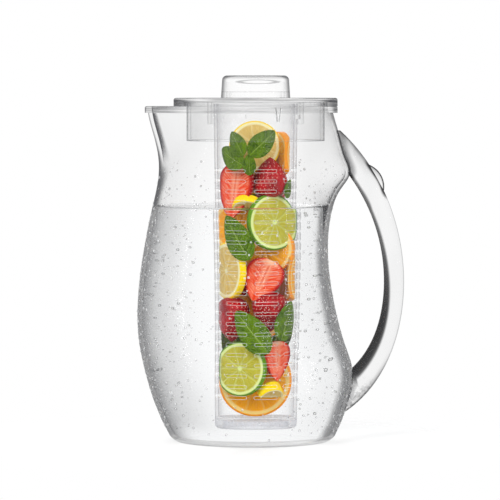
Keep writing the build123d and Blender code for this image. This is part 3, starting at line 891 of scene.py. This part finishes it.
class INFUSER_OT_slot_rims(bpy.types.Operator):
    """Pale moulded rims round the tube's slots, whose pale colour is a painted highlight on the slots' edges
    """

    bl_idname = "infuser.slot_rims"
    bl_label = "Slot rims"

    def execute(self, context):
        points = []
        turns = []
        for column in range(SLOT_COLUMNS):
            turn = SLOT_TURN + 360 * column / SLOT_COLUMNS
            for row in range(SLOT_ROWS):
                height = SLOT_FIRST + row * SLOT_PITCH
                points.append(heading(turn) * (tube_inner(height) + TUBE_WALL) + Vector((0, 0, height)))
                turns.append((math.pi / 2, 0, math.radians(turn)))
        source = seeded_points("slot_places", points, turns)
        values = {"Length": SLOT_LENGTH, "Width": SLOT_WIDTH, "Bead": SLOT_BEAD}
        material = self.rim_finish(plain(context.scene.infuser_acrylic.rim_highlight_colour))
        rims = grown(source, self.rim_tree(), values, "slot_rims", material)
        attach(rims, "infuser")
        return {"FINISHED"}

    def rim_finish(self, colour):
        """A pale, partly clear bead that fades where the tube turns away: a painted highlight on the slot's
        edge.
        """
        finish = Finish("Slot rim")
        x, y, _ = finish.parts(finish.coordinates())
        grain = finish.noise(finish.coordinates(), 900.0)
        tone = finish.blend(grain, shaded(colour, 0.92), colour)
        bead = finish.principled(Base_Color=tone, Roughness=0.25, Coat_Weight=0.3)
        slant = turned_from(finish, finish.joined(x, y))
        share = (0.46 + grain * 0.26) * (1 - slant.step(0.45, 0.8))
        return finish.close(finish.mixed(share, finish.through(), bead))

    def rim_tree(self):
        """An obround bead on each point, wrapped onto the drafted tube."""
        tree, source, target = tree_of("Slot rims", {"Length": "Float", "Width": "Float", "Bead": "Float"})
        sizes = {"Width": source.outputs["Length"], "Height": source.outputs["Width"]}
        box = add_node(tree, "GeometryNodeCurvePrimitiveQuadrilateral", None, sizes)
        ends = {"Curve": box.outputs[0], "Radius": Flow(tree, source.outputs["Width"]) * 0.499, "Count": 4}
        slot = add_node(tree, "GeometryNodeFilletCurve", {"mode": "POLY"}, ends)
        slots = set_on(tree, source.outputs["Geometry"], slot, turn_socket(tree))
        place = add_node(tree, "GeometryNodeInputPosition")
        split = add_node(tree, "ShaderNodeSeparateXYZ", None, {0: place.outputs[0]})
        level = add_node(tree, "ShaderNodeCombineXYZ", None, {0: split.outputs[0], 1: split.outputs[1]})
        outward = add_node(tree, "ShaderNodeVectorMath", {"operation": "NORMALIZE"}, {0: level.outputs[0]})
        radius = add_node(tree, "ShaderNodeMapRange", None, {
            "Value": split.outputs[2],
            "From Min": TUBE_FOOT,
            "From Max": TUBE_TOP,
            "To Min": TUBE_FOOT_RADIUS,
            "To Max": TUBE_TOP_RADIUS,
        })
        stretch = {0: outward.outputs[0], "Scale": radius.outputs[0]}
        reach = add_node(tree, "ShaderNodeVectorMath", {"operation": "SCALE"}, stretch)
        height = add_node(tree, "ShaderNodeCombineXYZ", None, {2: split.outputs[2]})
        both = {0: reach.outputs[0], 1: height.outputs[0]}
        wrapped = add_node(tree, "ShaderNodeVectorMath", {"operation": "ADD"}, both)
        wrap = {"Geometry": slots, "Position": wrapped.outputs[0]}
        loops = add_node(tree, "GeometryNodeSetPosition", None, wrap)
        circle = {"Resolution": 4, "Radius": source.outputs["Bead"]}
        section = add_node(tree, "GeometryNodeCurvePrimitiveCircle", None, circle)
        sweep = {"Curve": loops.outputs[0], "Profile Curve": section.outputs[0]}
        bead = add_node(tree, "GeometryNodeCurveToMesh", None, sweep)
        return end_tree(tree, source, target, bead.outputs[0])


class INFUSER_OT_water(bpy.types.Operator):
    """Water that fills the jug to its level"""

    bl_idname = "infuser.water"
    bl_label = "Water"

    def execute(self, context):
        look = context.scene.infuser_water
        walls = jug_walls()
        columns = 96
        steps = 44
        wall_gap = 0.15 * MM
        floor_share = 0.97
        depth = look.level - WATER_FLOOR
        rings = [(WATER_FLOOR, floor_share)]
        rings += [(WATER_FLOOR + depth * i / steps, 1.0) for i in range(steps + 1)]
        points = []
        for height, share in rings:
            centre = Vector((JUG_MIDDLE, 0, height))
            for column in range(columns):
                away = heading(360 * column / columns)
                hit = walls.ray_cast(centre, away)[0]
                points.append(centre + (hit - centre) * share - away * wall_gap)
        rim = points[-columns:]
        middle = Vector((JUG_MIDDLE, 0, look.level))
        surface = [(look.meniscus, 1.0), (0.4 * look.meniscus, 0.975), (0, 0.94), (0, 0.5)]
        for climb, share in surface:
            points += [middle + (point - middle) * share + Vector((0, 0, climb)) for point in rim]
        rows = len(points) // columns
        faces = grid_faces(rows, columns)
        faces.append(tuple(range(columns)))
        faces.append(tuple(range((rows - 1) * columns, rows * columns)))
        water = mesh_piece("water", points, faces, [self.water_finish(look)])
        weld(water)
        water.data.set_sharp_from_angle(angle=math.radians(WATER_SHARP_ANGLE))
        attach(water, "pitcher")
        return {"FINISHED"}

    def water_finish(self, look):
        """Clear water, a little dimmer edge on towards the spout by painted shade, that casts no shadow."""
        finish = Finish("Water")
        light = finish.node("LightPath")
        shadow = finish.flow(light, "Is Shadow Ray").most(finish.flow(light, "Is Diffuse Ray"))
        ripple = finish.noise(finish.coordinates(), 60.0, 2.0)
        tint = finish.blend(ripple, (0.975, 0.985, 0.99), (0.99, 0.995, 1.0))
        wet = finish.principled(Base_Color=tint, Roughness=0.0, IOR=look.bend, Transmission_Weight=1.0)
        x, _, z = finish.parts(finish.coordinates())
        # Painted shade: a dark diffuse layer edge on, stronger towards the spout and faded out near the
        # floor.
        shade = (1 - x.step(-10 * MM, 32 * MM) * 0.85) * z.step(6 * MM, 16 * MM)
        depth = finish.edge_on(0.05, 0.42) * (0.11 + ripple * 0.06) * shade
        painted_dim = finish.principled(Base_Color=(0.05, 0.05, 0.055, 1), Roughness=0.5, Specular_IOR_Level=0.0)
        through = finish.through((0.98, 0.99, 0.99, 1))
        return finish.close(finish.mixed(shadow, finish.mixed(depth, wet, painted_dim), through))


class INFUSER_OT_drops(bpy.types.Operator):
    """Condensation on the outside of the jug"""

    bl_idname = "infuser.drops"
    bl_label = "Condensation"

    def execute(self, context):
        look = context.scene.infuser_water
        walls = jug_walls()
        columns = 90
        heights = [8 * MM + i * 4 * MM for i in range(48)]
        dry_height = 206 * MM
        fade_depth = 60 * MM
        points = []
        wetness = []
        for height in heights:
            fade = clamped((dry_height - height) / fade_depth)
            for column in range(columns):
                away = heading(360 * column / columns)
                start = Vector((JUG_MIDDLE, 0, height)) + away * OUTSIDE
                points.append(walls.ray_cast(start, -away)[0])
                wetness.append(fade * (0.10 + 0.90 * abs(away.x) ** 3))
        skin = mesh_piece("wet_skin", points, grid_faces(len(heights), columns), [])
        mark(skin, "wetness", wetness)
        weld(skin)
        values = {
            "Density": float(look.drop_count),
            "Smallest": look.drop_small,
            "Largest": look.drop_large,
            "Seed": look.drop_seed,
        }
        drops = grown(skin, self.drop_tree(), values, "condensation", self.drop_finish())
        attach(drops, "pitcher")
        return {"FINISHED"}

    def drop_tree(self):
        """Scatters flattened beads over the wet skin, most of them small."""
        inputs = {"Density": "Float", "Smallest": "Float", "Largest": "Float", "Seed": "Int"}
        tree, source, target = tree_of("Condensation", inputs)
        density = Flow(tree, source.outputs["Density"]) * Flow(tree, carried(tree, "wetness", "FLOAT"))
        spread = add_node(tree, "GeometryNodeDistributePointsOnFaces", {"distribute_method": "RANDOM"}, {
            "Mesh": source.outputs["Geometry"],
            "Density": density,
            "Seed": source.outputs["Seed"],
        })
        seed = {"Seed": source.outputs["Seed"]}
        chance = add_node(tree, "FunctionNodeRandomValue", {"data_type": "FLOAT"}, seed)
        size = add_node(tree, "ShaderNodeMapRange", None, {
            "Value": Flow(tree, chance.outputs[1]) ** 5.0,
            "To Min": source.outputs["Smallest"],
            "To Max": source.outputs["Largest"],
        })
        width = Flow(tree, size.outputs[0])
        scale = add_node(tree, "ShaderNodeCombineXYZ", None, {0: width, 1: width * 1.15, 2: width * 0.55})
        bead = add_node(tree, "GeometryNodeMeshUVSphere", None, {"Segments": 6, "Rings": 3, "Radius": 1.0})
        turn = spread.outputs["Rotation"]
        drops = set_on(tree, spread.outputs["Points"], bead, turn, Scale=scale.outputs[0])
        return end_tree(tree, source, target, drops)

    def drop_finish(self):
        """Clear drops with rims of painted shade or painted highlight, dark on most and pale on some,
        standing in for what each drop refracts and reflects.
        """
        finish = Finish("Condensation")
        grain = finish.noise(finish.coordinates(), 700.0)
        glint_share = finish.noise(finish.coordinates(), 260.0, 1.0).step(0.46, 0.56)
        share = (finish.facing() ** 1.5 + (grain - 0.5) * 0.2).least(1.0).most(0.0)
        # Painted shade and painted highlight: a drop's rim is dark, or pale where the glint share rises.
        rim = finish.blend(glint_share, (0.03, 0.03, 0.035), (0.80, 0.80, 0.80))
        colour = finish.blend(share.step(0.1, 0.45), (1.0, 1.0, 1.0), rim)
        bead = finish.principled(Base_Color=colour, Roughness=0.05, IOR=1.33)
        return finish.close(finish.mixed(0.25 + share * 0.65, finish.through(), bead))


def citrus_finish(name, segments, flesh, deep, pith, rind, seed):
    """A cut citrus face with juice cells, membranes, pith and rind, drawn on the slice's own UV disc."""
    finish = Finish(name)
    u, v, _ = finish.parts(finish.coordinates("UV"))
    x, y = (u - 0.5) * 2.0, (v - 0.5) * 2.0
    radius = (x * x + y * y) ** 0.5
    angle = x.math("ARCTAN2", y, x) / TURN + 0.5
    wobble = (finish.noise(finish.coordinates("UV"), 6.0 + seed) - 0.5) * 0.02
    place = ((angle + wobble) * segments).fraction()
    edge = place.least(1 - place) * radius * (TURN / segments)
    membrane = (1 - edge.step(0.002, 0.050)) * radius.step(0.02, 0.10)
    core = 1 - radius.step(0.05, 0.11)
    streak = finish.noise(finish.joined(angle * 150.0, radius * 5.0, float(seed)), 1.0, 2.0)
    fine = finish.noise(finish.joined(angle * 420.0, radius * 16.0, float(seed)), 1.0, 2.0)
    juice = (streak * 0.65 + fine * 0.35).step(0.36, 0.64)
    cut = finish.blend(juice, deep, flesh)
    cut = finish.blend((membrane * 0.34 + core).least(1.0), cut, pith)
    cut = finish.blend(radius.step(0.81, 0.865), cut, pith)
    skin = radius.step(0.925, 0.955)
    pores = finish.cells(finish.coordinates(), 900.0)
    peel = finish.blend(pores.step(0.15, 0.55), shaded(rind, 1.25), rind)
    colour = finish.blend(skin, cut, peel)
    relief = juice * (1 - skin) * 0.6 + pores * skin
    bump = finish.bump(relief, 0.35, 0.0006)
    shine = 0.24 + skin * 0.16 + (1 - juice) * 0.06
    return finish.close(finish.principled(
        Base_Color=colour, Roughness=shine, Normal=bump, Specular_IOR_Level=0.06,
        Subsurface_Weight=0.12, Subsurface_Radius=(0.004, 0.003, 0.0015), Subsurface_Scale=0.5,
    ))


def citrus_rows(thickness, segments, columns, radius):
    """Rows of a slice from the middle of its front, over the rim, to the middle of its back. Each entry
    is a share of the radius and a height, with the flesh swelling between the membranes."""
    half = thickness / 2
    swell = 0.035 * radius
    front = []
    for share in CITRUS_RINGS:
        window = clamped((share - CITRUS_CORE) / 0.12) * clamped((CITRUS_FLESH - share) / 0.08)
        rounding = CITRUS_ROUNDING * max(0.0, (share - CITRUS_RIM) / 0.06) ** 2
        row = []
        for column in range(columns):
            place = (column * segments / columns) % 1.0
            ridge = 1 - (2 * place - 1) ** 4
            row.append((share, half - 0.6 * swell * window + swell * ridge * window - rounding))
        front.append(row)
    rim = [[(1.0, level * half)] * columns for level in (0.68, 0.25, -0.25, -0.68)]
    back = [[(share, -height) for share, height in row] for row in reversed(front)]
    return front + rim + back


def citrus_piece(node, place, yaw, radius, thickness, tilt, segments, material):
    """A round slice of citrus, or a half slice with its rind up."""
    columns = segments * 8
    right, up, out = axes(yaw, tilt)
    points = []
    uvs = []
    for row in citrus_rows(thickness, segments, columns, radius):
        for column, (share, height) in enumerate(row):
            angle = TURN * column / columns
            across, along = share * math.cos(angle), share * math.sin(angle)
            uvs.append((0.5 + across / 2, 0.5 + along / 2))
            along = max(along, 0.0) if "half" in node else along
            points.append(place + (right * across + up * along) * radius + out * height)
    points = [kept_in_tube(point) for point in points]
    rows = len(points) // columns
    piece = mesh_piece(f"cut_{node}", points, grid_faces(rows, columns), [material], uvs)
    weld(piece)
    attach(piece, "infuser")
    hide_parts(node)


class INFUSER_OT_citrus(bpy.types.Operator):
    """Lime, lemon and orange slices"""

    bl_idname = "infuser.citrus"
    bl_label = "Citrus slices"

    def execute(self, context):
        look = context.scene.infuser_fruit
        kinds = {}
        for seed, (kind, segments) in enumerate((("lime", 10), ("lemon", 9), ("orange", 10))):
            colours = [plain(getattr(look, f"{kind}_{part}")) for part in ("flesh", "deep", "pith", "rind")]
            kinds[kind] = (segments, citrus_finish(f"{kind} slice", segments, *colours, seed))
        slices = [
            ("lime_slice_upper", spot(0.44, -0.47, 0.620), 33, 19.6, 4, 0),
            ("lime_slice_low", spot(-0.40, -0.45, 0.150), -28, 18.2, 4, 0),
            ("lemon_slice_left", spot(-0.74, -0.14, 0.460), -62, 20.0, 5, 0),
            ("lemon_slice_top", spot(-0.02, -0.14, 0.862), 0, 18, 5.5, 14),
            ("orange_slice_top", spot(0.72, -0.05, 0.838), -66, 15.5, 5.5, 0),
            ("orange_slice_upper", spot(-0.42, 0.12, 0.600), -20, 19, 6, 0),
            ("orange_slice_middle", spot(0.22, -0.06, 0.535), -12, 19.4, 6, 0),
            ("orange_slice_right", spot(0.80, 0.06, 0.440), -66, 17.5, 5.5, 0),
            ("orange_slice_low", spot(-0.02, 0.20, 0.106), 0, 23.2, 7, 0),
            ("orange_slice_back", spot(0.0, 0.58, 0.310), 178, 17.6, 6, 0),
            ("lemon_slice_back_low", spot(0.10, 0.66, 0.120), 172, 15.5, 5, 0),
            ("lime_slice_back", spot(0.26, 0.60, 0.570), 160, 16, 5, 0),
            ("lemon_slice_back_high", spot(-0.12, 0.60, 0.780), 188, 16, 5, 0),
            ("lemon_half_upper", spot(-0.22, -0.40, 0.668), -10, 11, 6, -50),
            ("lemon_half_low", spot(0.36, -0.38, 0.074), 30, 8.5, 7, -50),
        ]
        for node, place, yaw, radius, thickness, tilt in slices:
            citrus_piece(node, place, yaw, radius * MM, thickness * MM, tilt, *kinds[node.split("_")[0]])
        return {"FINISHED"}


def berry_reach(share):
    """A strawberry's radius, as a share of its largest, from its point at 0 to its crown at 1."""
    if share < BERRY_SHOULDER:
        return (1 - (1 - share / BERRY_SHOULDER) ** 1.9) ** 0.82
    crown = (share - BERRY_SHOULDER) / (1 - BERRY_SHOULDER)
    return math.sqrt(max(0.0, 1 - 0.9 * crown**2.4))


def berry_skin_finish(look):
    """Mottled red skin with a soft shine."""
    finish = Finish("Strawberry skin")
    mottle = finish.noise(finish.coordinates(), 160.0, 3.0)
    fine = finish.noise(finish.coordinates(), 1400.0, 2.0)
    red = plain(look.berry_skin)
    colour = finish.blend(mottle.step(0.3, 0.7), shaded(red, 0.72), shaded(red, 1.25))
    bump = finish.bump(fine, 0.12, 0.0004)
    return finish.close(finish.principled(
        Base_Color=colour, Roughness=0.16 + mottle * 0.1, Normal=bump, Specular_IOR_Level=0.10,
    ))


def berry_cut_finish(look):
    """The cut face of a strawberry: a pale heart, rays towards the skin and a red rim."""
    finish = Finish("Strawberry cut")
    u, v, _ = finish.parts(finish.coordinates("UV"))
    side = ((u - 0.5) * 2.0).size()
    rays = finish.noise(finish.joined(v * 44.0 - side * 12.0, side * 1.6, 3.0), 1.0, 1.0)
    rays = rays.step(0.44, 0.62) * side.step(0.12, 0.35) * (1 - side.step(0.70, 0.92))
    heart = (1 - side.step(0.05, 0.36)) * v.step(0.10, 0.35)
    seam = (1 - side.step(0.02, 0.09)) * v.step(0.2, 0.4) * (1 - v.step(0.8, 0.95))
    crown = v.step(0.86, 1.0) * (1 - side.step(0.35, 0.85))
    flesh, pale = plain(look.berry_flesh), plain(look.berry_heart)
    pale_share = (rays * 0.55 + heart * 0.6 + crown * 0.9).least(1.0)
    colour = finish.blend(pale_share, flesh, pale)
    colour = finish.blend(seam * 0.6, colour, shaded(flesh, 0.9))
    colour = finish.blend(side.step(0.74, 0.98), colour, plain(look.berry_skin))
    bump = finish.bump(rays + finish.noise(finish.coordinates(), 700.0) * 0.5, 0.25, 0.0005)
    return finish.close(finish.principled(
        Base_Color=colour, Roughness=0.26 + rays * 0.1, Normal=bump, Specular_IOR_Level=0.06,
    ))


def berry_seed_finish(look):
    """Pale, mottled seeds, whose paleness is partly a painted highlight for small glints on the skin."""
    finish = Finish("Strawberry seed")
    pale = plain(look.berry_seed)
    tone = finish.blend(finish.noise(finish.coordinates(), 500.0), shaded(pale, 0.75), pale)
    return finish.close(finish.principled(Base_Color=tone, Roughness=0.35))


class Berry:
    """The form of a strawberry, point down and tipped right by its lean. A half is cut in front."""

    rows = 44
    columns = 56
    cut_columns = 17
    cut_dome = 0.35 * MM
    middle = 0.55
    seed_spacing = 3.3 * MM
    seed_sink = 0.3 * MM
    seed_play = 0.05 * MM
    dimple_depth = 0.55 * MM
    dimple_width = 1.0 * MM

    def __init__(self, place, yaw, radius, length, lean, half):
        right, _, self.front = axes(yaw)
        upright = Vector((0, 0, 1))
        tip = math.radians(lean)
        self.up = upright * math.cos(tip) + right * math.sin(tip)
        self.side = right * math.cos(tip) - upright * math.sin(tip)
        self.place = place
        self.radius = radius
        self.length = length
        self.half = half
        self.sweep = math.pi if half else TURN
        self.steps = self.columns + 1 if half else self.columns
        self.shares = [(i / (self.rows - 1)) ** 1.15 for i in range(self.rows)]
        self.seeds = self.seed_places()

    def at(self, share, angle, sink=0.0):
        """A point on the skin, or sunk below it: share of the length and angle round the berry."""
        reach = berry_reach(share) * self.radius - sink
        across = self.side * (math.cos(angle) * reach) - self.front * (math.sin(angle) * reach)
        return self.place + across + self.up * ((share - self.middle) * self.length)

    def seed_places(self):
        """Share of the length and angle of each seed, in staggered rows."""
        places = []
        rows = int(self.length * 0.86 / (0.8 * self.seed_spacing))
        for row in range(rows):
            share = 0.08 + 0.84 * (row + 0.5) / rows
            around = self.sweep * berry_reach(share) * self.radius
            count = max(3, round(around / self.seed_spacing))
            shift = 0.5 if self.half else 0.5 * (row % 2)
            places += [(share, self.sweep * (i + shift) / count) for i in range(count)]
        return places

    def skin(self):
        """Points of the skin, row by row, dimpled at the seeds."""
        hollows = np.array([self.at(share, angle) for share, angle in self.seeds])
        points = []
        for share in self.shares:
            for i in range(self.steps):
                angle = self.sweep * i / self.columns
                near = np.min(np.sum((hollows - np.array(self.at(share, angle))) ** 2, axis=1))
                sink = self.dimple_depth * math.exp(-near / self.dimple_width**2)
                points.append(self.at(share, angle, sink if share > 0.03 else 0.0))
        return points

    def cut_face(self):
        """Points and UVs of the cut face, row by row, slightly domed."""
        points = []
        uvs = []
        for share in self.shares:
            for i in range(self.cut_columns):
                offset = 2 * i / (self.cut_columns - 1) - 1
                dome = self.cut_dome * (1 - offset * offset) * math.sin(math.pi * share)
                level = self.at(share, math.pi).lerp(self.at(share, 0.0), (1 + offset) / 2)
                points.append(level + self.front * dome)
                uvs.append((0.5 + offset / 2, share))
        return points, uvs


def berry_piece(node, berry, skin, cut):
    """A strawberry's skin, closed by its cut face or its crown."""
    points = berry.skin()
    uvs = [(0.0, share) for share in berry.shares for _ in range(berry.steps)]
    faces = grid_faces(berry.rows, berry.steps, wrap=not berry.half)
    skin_faces = len(faces)
    if berry.half:
        cut_points, cut_uvs = berry.cut_face()
        faces += grid_faces(berry.rows, berry.cut_columns, wrap=False, start=len(points))
        points += cut_points
        uvs += cut_uvs
    else:
        faces.append(tuple(range(len(points) - berry.steps, len(points))))
    points = [kept_in_tube(point) for point in points]
    piece = mesh_piece(f"ripe_{node}", points, faces, [skin, cut], uvs)
    if berry.half:
        for polygon in piece.data.polygons[skin_faces:]:
            polygon.material_index = 1
    weld(piece)
    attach(piece, "infuser")
    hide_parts(node)


def berry_seeds(node, berry, tree, material):
    """A strawberry's seeds, in the dimples that the tube's wall leaves free."""
    places = []
    turns = []
    for share, angle in berry.seeds:
        middle = berry.at(share, angle, berry.seed_sink)
        if (kept_in_tube(middle) - middle).length <= berry.seed_play:
            outward = (berry.at(share, angle) - berry.at(share, angle, 1 * MM)).normalized()
            places.append(middle)
            turns.append(tuple(outward.to_track_quat("Z", "Y").to_euler()))
    source = seeded_points(f"ripe_{node}_places", places, turns)
    values = {"Width": 0.36 * MM, "Length": 0.62 * MM, "Depth": 0.32 * MM}
    grains = grown(source, tree, values, f"ripe_{node}_seeds", material)
    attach(grains, "infuser")


def seed_tree():
    """A small oval grain on each point."""
    tree, source, target = tree_of("Berry seeds", {"Width": "Float", "Length": "Float", "Depth": "Float"})
    grain = add_node(tree, "GeometryNodeMeshUVSphere", None, {"Segments": 6, "Rings": 4, "Radius": 1.0})
    sizes = [source.outputs[name] for name in ("Width", "Length", "Depth")]
    size = add_node(tree, "ShaderNodeCombineXYZ", None, dict(enumerate(sizes)))
    points = source.outputs["Geometry"]
    grains = set_on(tree, points, grain, turn_socket(tree), Scale=size.outputs[0])
    return end_tree(tree, source, target, grains)


class INFUSER_OT_berries(bpy.types.Operator):
    """Whole and halved strawberries with their seeds"""

    bl_idname = "infuser.berries"
    bl_label = "Strawberries"

    def execute(self, context):
        look = context.scene.infuser_fruit
        skin, cut, grain = berry_skin_finish(look), berry_cut_finish(look), berry_seed_finish(look)
        tree = seed_tree()
        berries = [
            ("strawberry_half_upper", spot(-0.60, -0.50, 0.726), -30, 13.2, 39, 8),
            ("strawberry_half_middle", spot(0.16, -0.60, 0.438), 8, 13, 31, 24),
            ("strawberry_half_low", spot(0.56, -0.40, 0.178), 38, 10.4, 27, 0),
            ("strawberry_upper", spot(0.42, -0.36, 0.757), 0, 12.4, 28, 180),
            ("strawberry_middle", spot(0.34, -0.36, 0.334), 0, 11.6, 28, 0),
            ("strawberry_left", spot(-0.66, -0.20, 0.310), 0, 11.2, 31, 0),
            ("strawberry_back_low", spot(-0.36, 0.50, 0.445), 180, 10.5, 28, 0),
            ("strawberry_back_high", spot(0.44, 0.52, 0.700), 180, 10.5, 28, 0),
        ]
        for node, place, yaw, radius, length, lean in berries:
            berry = Berry(place, yaw, radius * MM, length * MM, lean, "half" in node)
            berry_piece(node, berry, skin, cut)
            berry_seeds(node, berry, tree, grain)
        return {"FINISHED"}


def leaf_finish(look):
    """A quilted green leaf with a pale midrib and side veins, drawn on the leaf's own UV, mottled and darker
    where the bump is low, a painted shade in its hollows.
    """
    finish = Finish("Mint leaf")
    u, v, _ = finish.parts(finish.coordinates("UV"))
    side = ((u - 0.5) * 2.0).size()
    rib = 1 - side.step(0.015, 0.07)
    slant = (v * LEAF_VEINS - side * VEIN_SLANT).fraction()
    branch = (1 - slant.least(1 - slant).step(0.02, 0.09)) * (1 - side.step(0.75, 1.0))
    vein = rib.most(branch * 0.55)
    patch = finish.noise(finish.coordinates(), 220.0, 3.0)
    mesh = finish.cells(finish.coordinates(), 700.0)
    colour = finish.blend(patch.step(0.3, 0.7), plain(look.leaf_deep), plain(look.leaf_face))
    colour = finish.blend(mesh.step(0.2, 0.7) * 0.35, colour, shaded(plain(look.leaf_face), 1.5))
    colour = finish.blend(vein * 0.7, colour, plain(look.leaf_vein))
    bump = finish.bump(mesh * 0.6 + patch * 0.8 - vein, 0.7, 0.0008)
    return finish.close(finish.principled(
        Base_Color=colour, Roughness=0.38 + patch * 0.12, Normal=bump, Specular_IOR_Level=0.06,
    ))


def leaf_piece(name, turn, up, length, width, lean, layer, material):
    """A serrated, quilted leaf that lies against the tube's wall."""
    rows, across = 41, 17
    middle = spot(0, 0, up).z
    tip = math.radians(lean)
    points = []
    uvs = []
    for row in range(rows):
        along = 2 * row / (rows - 1) - 1
        body = max(0.0, 1 - along * along) ** 0.62 * (1 - 0.22 * along)
        tooth = 1 + 0.05 * abs(math.sin(row * math.pi / 3)) * (abs(along) < 0.9)
        for column in range(across):
            offset = 2 * column / (across - 1) - 1
            x = offset * body * tooth * width / 2
            y = along * length / 2
            flat_x = x * math.cos(tip) + y * math.sin(tip)
            flat_y = y * math.cos(tip) - x * math.sin(tip)
            vein = (row / (rows - 1)) * LEAF_VEINS - abs(offset) * VEIN_SLANT
            quilt = LEAF_QUILT * abs(math.sin(math.pi * vein)) * (1 - abs(offset) ** 3)
            crease = LEAF_CREASE * math.exp(-((offset / 0.16) ** 2))
            depth = LEAF_DEPTH + layer * LEAF_LAYER - quilt + crease
            height = middle + flat_y
            radius = tube_inner(height) - depth
            points.append(heading(turn + math.degrees(flat_x / radius)) * radius + Vector((0, 0, height)))
            uvs.append((0.5 + offset / 2, row / (rows - 1)))
    piece = mesh_piece(name, points, grid_faces(rows, across, wrap=False), [material], uvs)
    weld(piece, outwards=False)
    thick = piece.modifiers.new("Thickness", "SOLIDIFY")
    thick.thickness = LEAF_THICKNESS
    thick.offset = 0
    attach(piece, "infuser")
    return piece


class INFUSER_OT_leaves(bpy.types.Operator):
    """Mint leaves against the tube's wall"""

    bl_idname = "infuser.leaves"
    bl_label = "Mint leaves"

    def execute(self, context):
        material = leaf_finish(context.scene.infuser_fruit)
        leaves = [
            ("sprig_right", 10, 0.874, 25, 15, 47, 0),
            ("sprig_left", -29, 0.872, 19, 12, -28, 0),
            ("sprig_low", -43, 0.828, 24, 15, -62, 1),
            ("sprig_centre", -10, 0.806, 15, 9, 0, 1),
            ("edge", 62, 0.727, 14, 9, 25, 0),
            ("middle", -31, 0.570, 35, 19, -30, 0),
            ("right", 53, 0.300, 29, 18, 20, 0),
            ("low", -7, 0.267, 37, 19, -37, 0),
            ("back_high", 165, 0.660, 34, 18, 35, 0),
            ("back_low", -160, 0.330, 34, 18, -30, 0),
        ]
        for leaf, turn, up, length, width, lean, layer in leaves:
            node = f"mint_leaf_{leaf}"
            piece = leaf_piece(f"fresh_{node}", turn, up, length * MM, width * MM, lean, layer, material)
            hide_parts(node)
        loose = [
            ("low_left", 222, 0.235, 36, 22, 25),
            ("low_right", 140, 0.270, 36, 22, -25),
            ("middle_right", 146, 0.430, 34, 20, 15),
            ("middle_left", 214, 0.500, 36, 20, -20),
            ("high", 196, 0.770, 34, 20, 10),
        ]
        for leaf, turn, up, length, width, lean in loose:
            piece = leaf_piece(f"loose_leaf_{leaf}", turn, up, length * MM, width * MM, lean, 0, material)
        return {"FINISHED"}


class INFUSER_PT_panel(bpy.types.Panel):
    """Lists the steps that dress the pitcher"""

    bl_idname = "INFUSER_PT_panel"
    bl_label = "Fruit Infuser Pitcher"
    bl_space_type = "VIEW_3D"
    bl_region_type = "UI"
    bl_category = "Infuser"

    def draw(self, context):
        for step in STEPS:
            self.layout.operator(step.bl_idname)


SETTINGS = {
    "infuser_stage": StageSettings,
    "infuser_acrylic": AcrylicSettings,
    "infuser_water": WaterSettings,
    "infuser_fruit": FruitSettings,
}
STEPS = (
    INFUSER_OT_stage,
    INFUSER_OT_acrylic,
    INFUSER_OT_slot_rims,
    INFUSER_OT_water,
    INFUSER_OT_drops,
    INFUSER_OT_citrus,
    INFUSER_OT_berries,
    INFUSER_OT_leaves,
)


def register():
    for group in SETTINGS.values():
        bpy.utils.register_class(group)
    for name, group in SETTINGS.items():
        setattr(bpy.types.Scene, name, PointerProperty(type=group))
    for step in STEPS:
        bpy.utils.register_class(step)
    bpy.utils.register_class(INFUSER_PT_panel)


def unregister():
    bpy.utils.unregister_class(INFUSER_PT_panel)
    for step in reversed(STEPS):
        bpy.utils.unregister_class(step)
    for name, group in SETTINGS.items():
        delattr(bpy.types.Scene, name)
        bpy.utils.unregister_class(group)


def main():
    register()
    bpy.ops.infuser.stage()
    bpy.ops.infuser.acrylic()
    bpy.ops.infuser.slot_rims()
    bpy.ops.infuser.water()
    bpy.ops.infuser.drops()
    bpy.ops.infuser.citrus()
    bpy.ops.infuser.berries()
    bpy.ops.infuser.leaves()


if __name__ == "__main__":
    main()
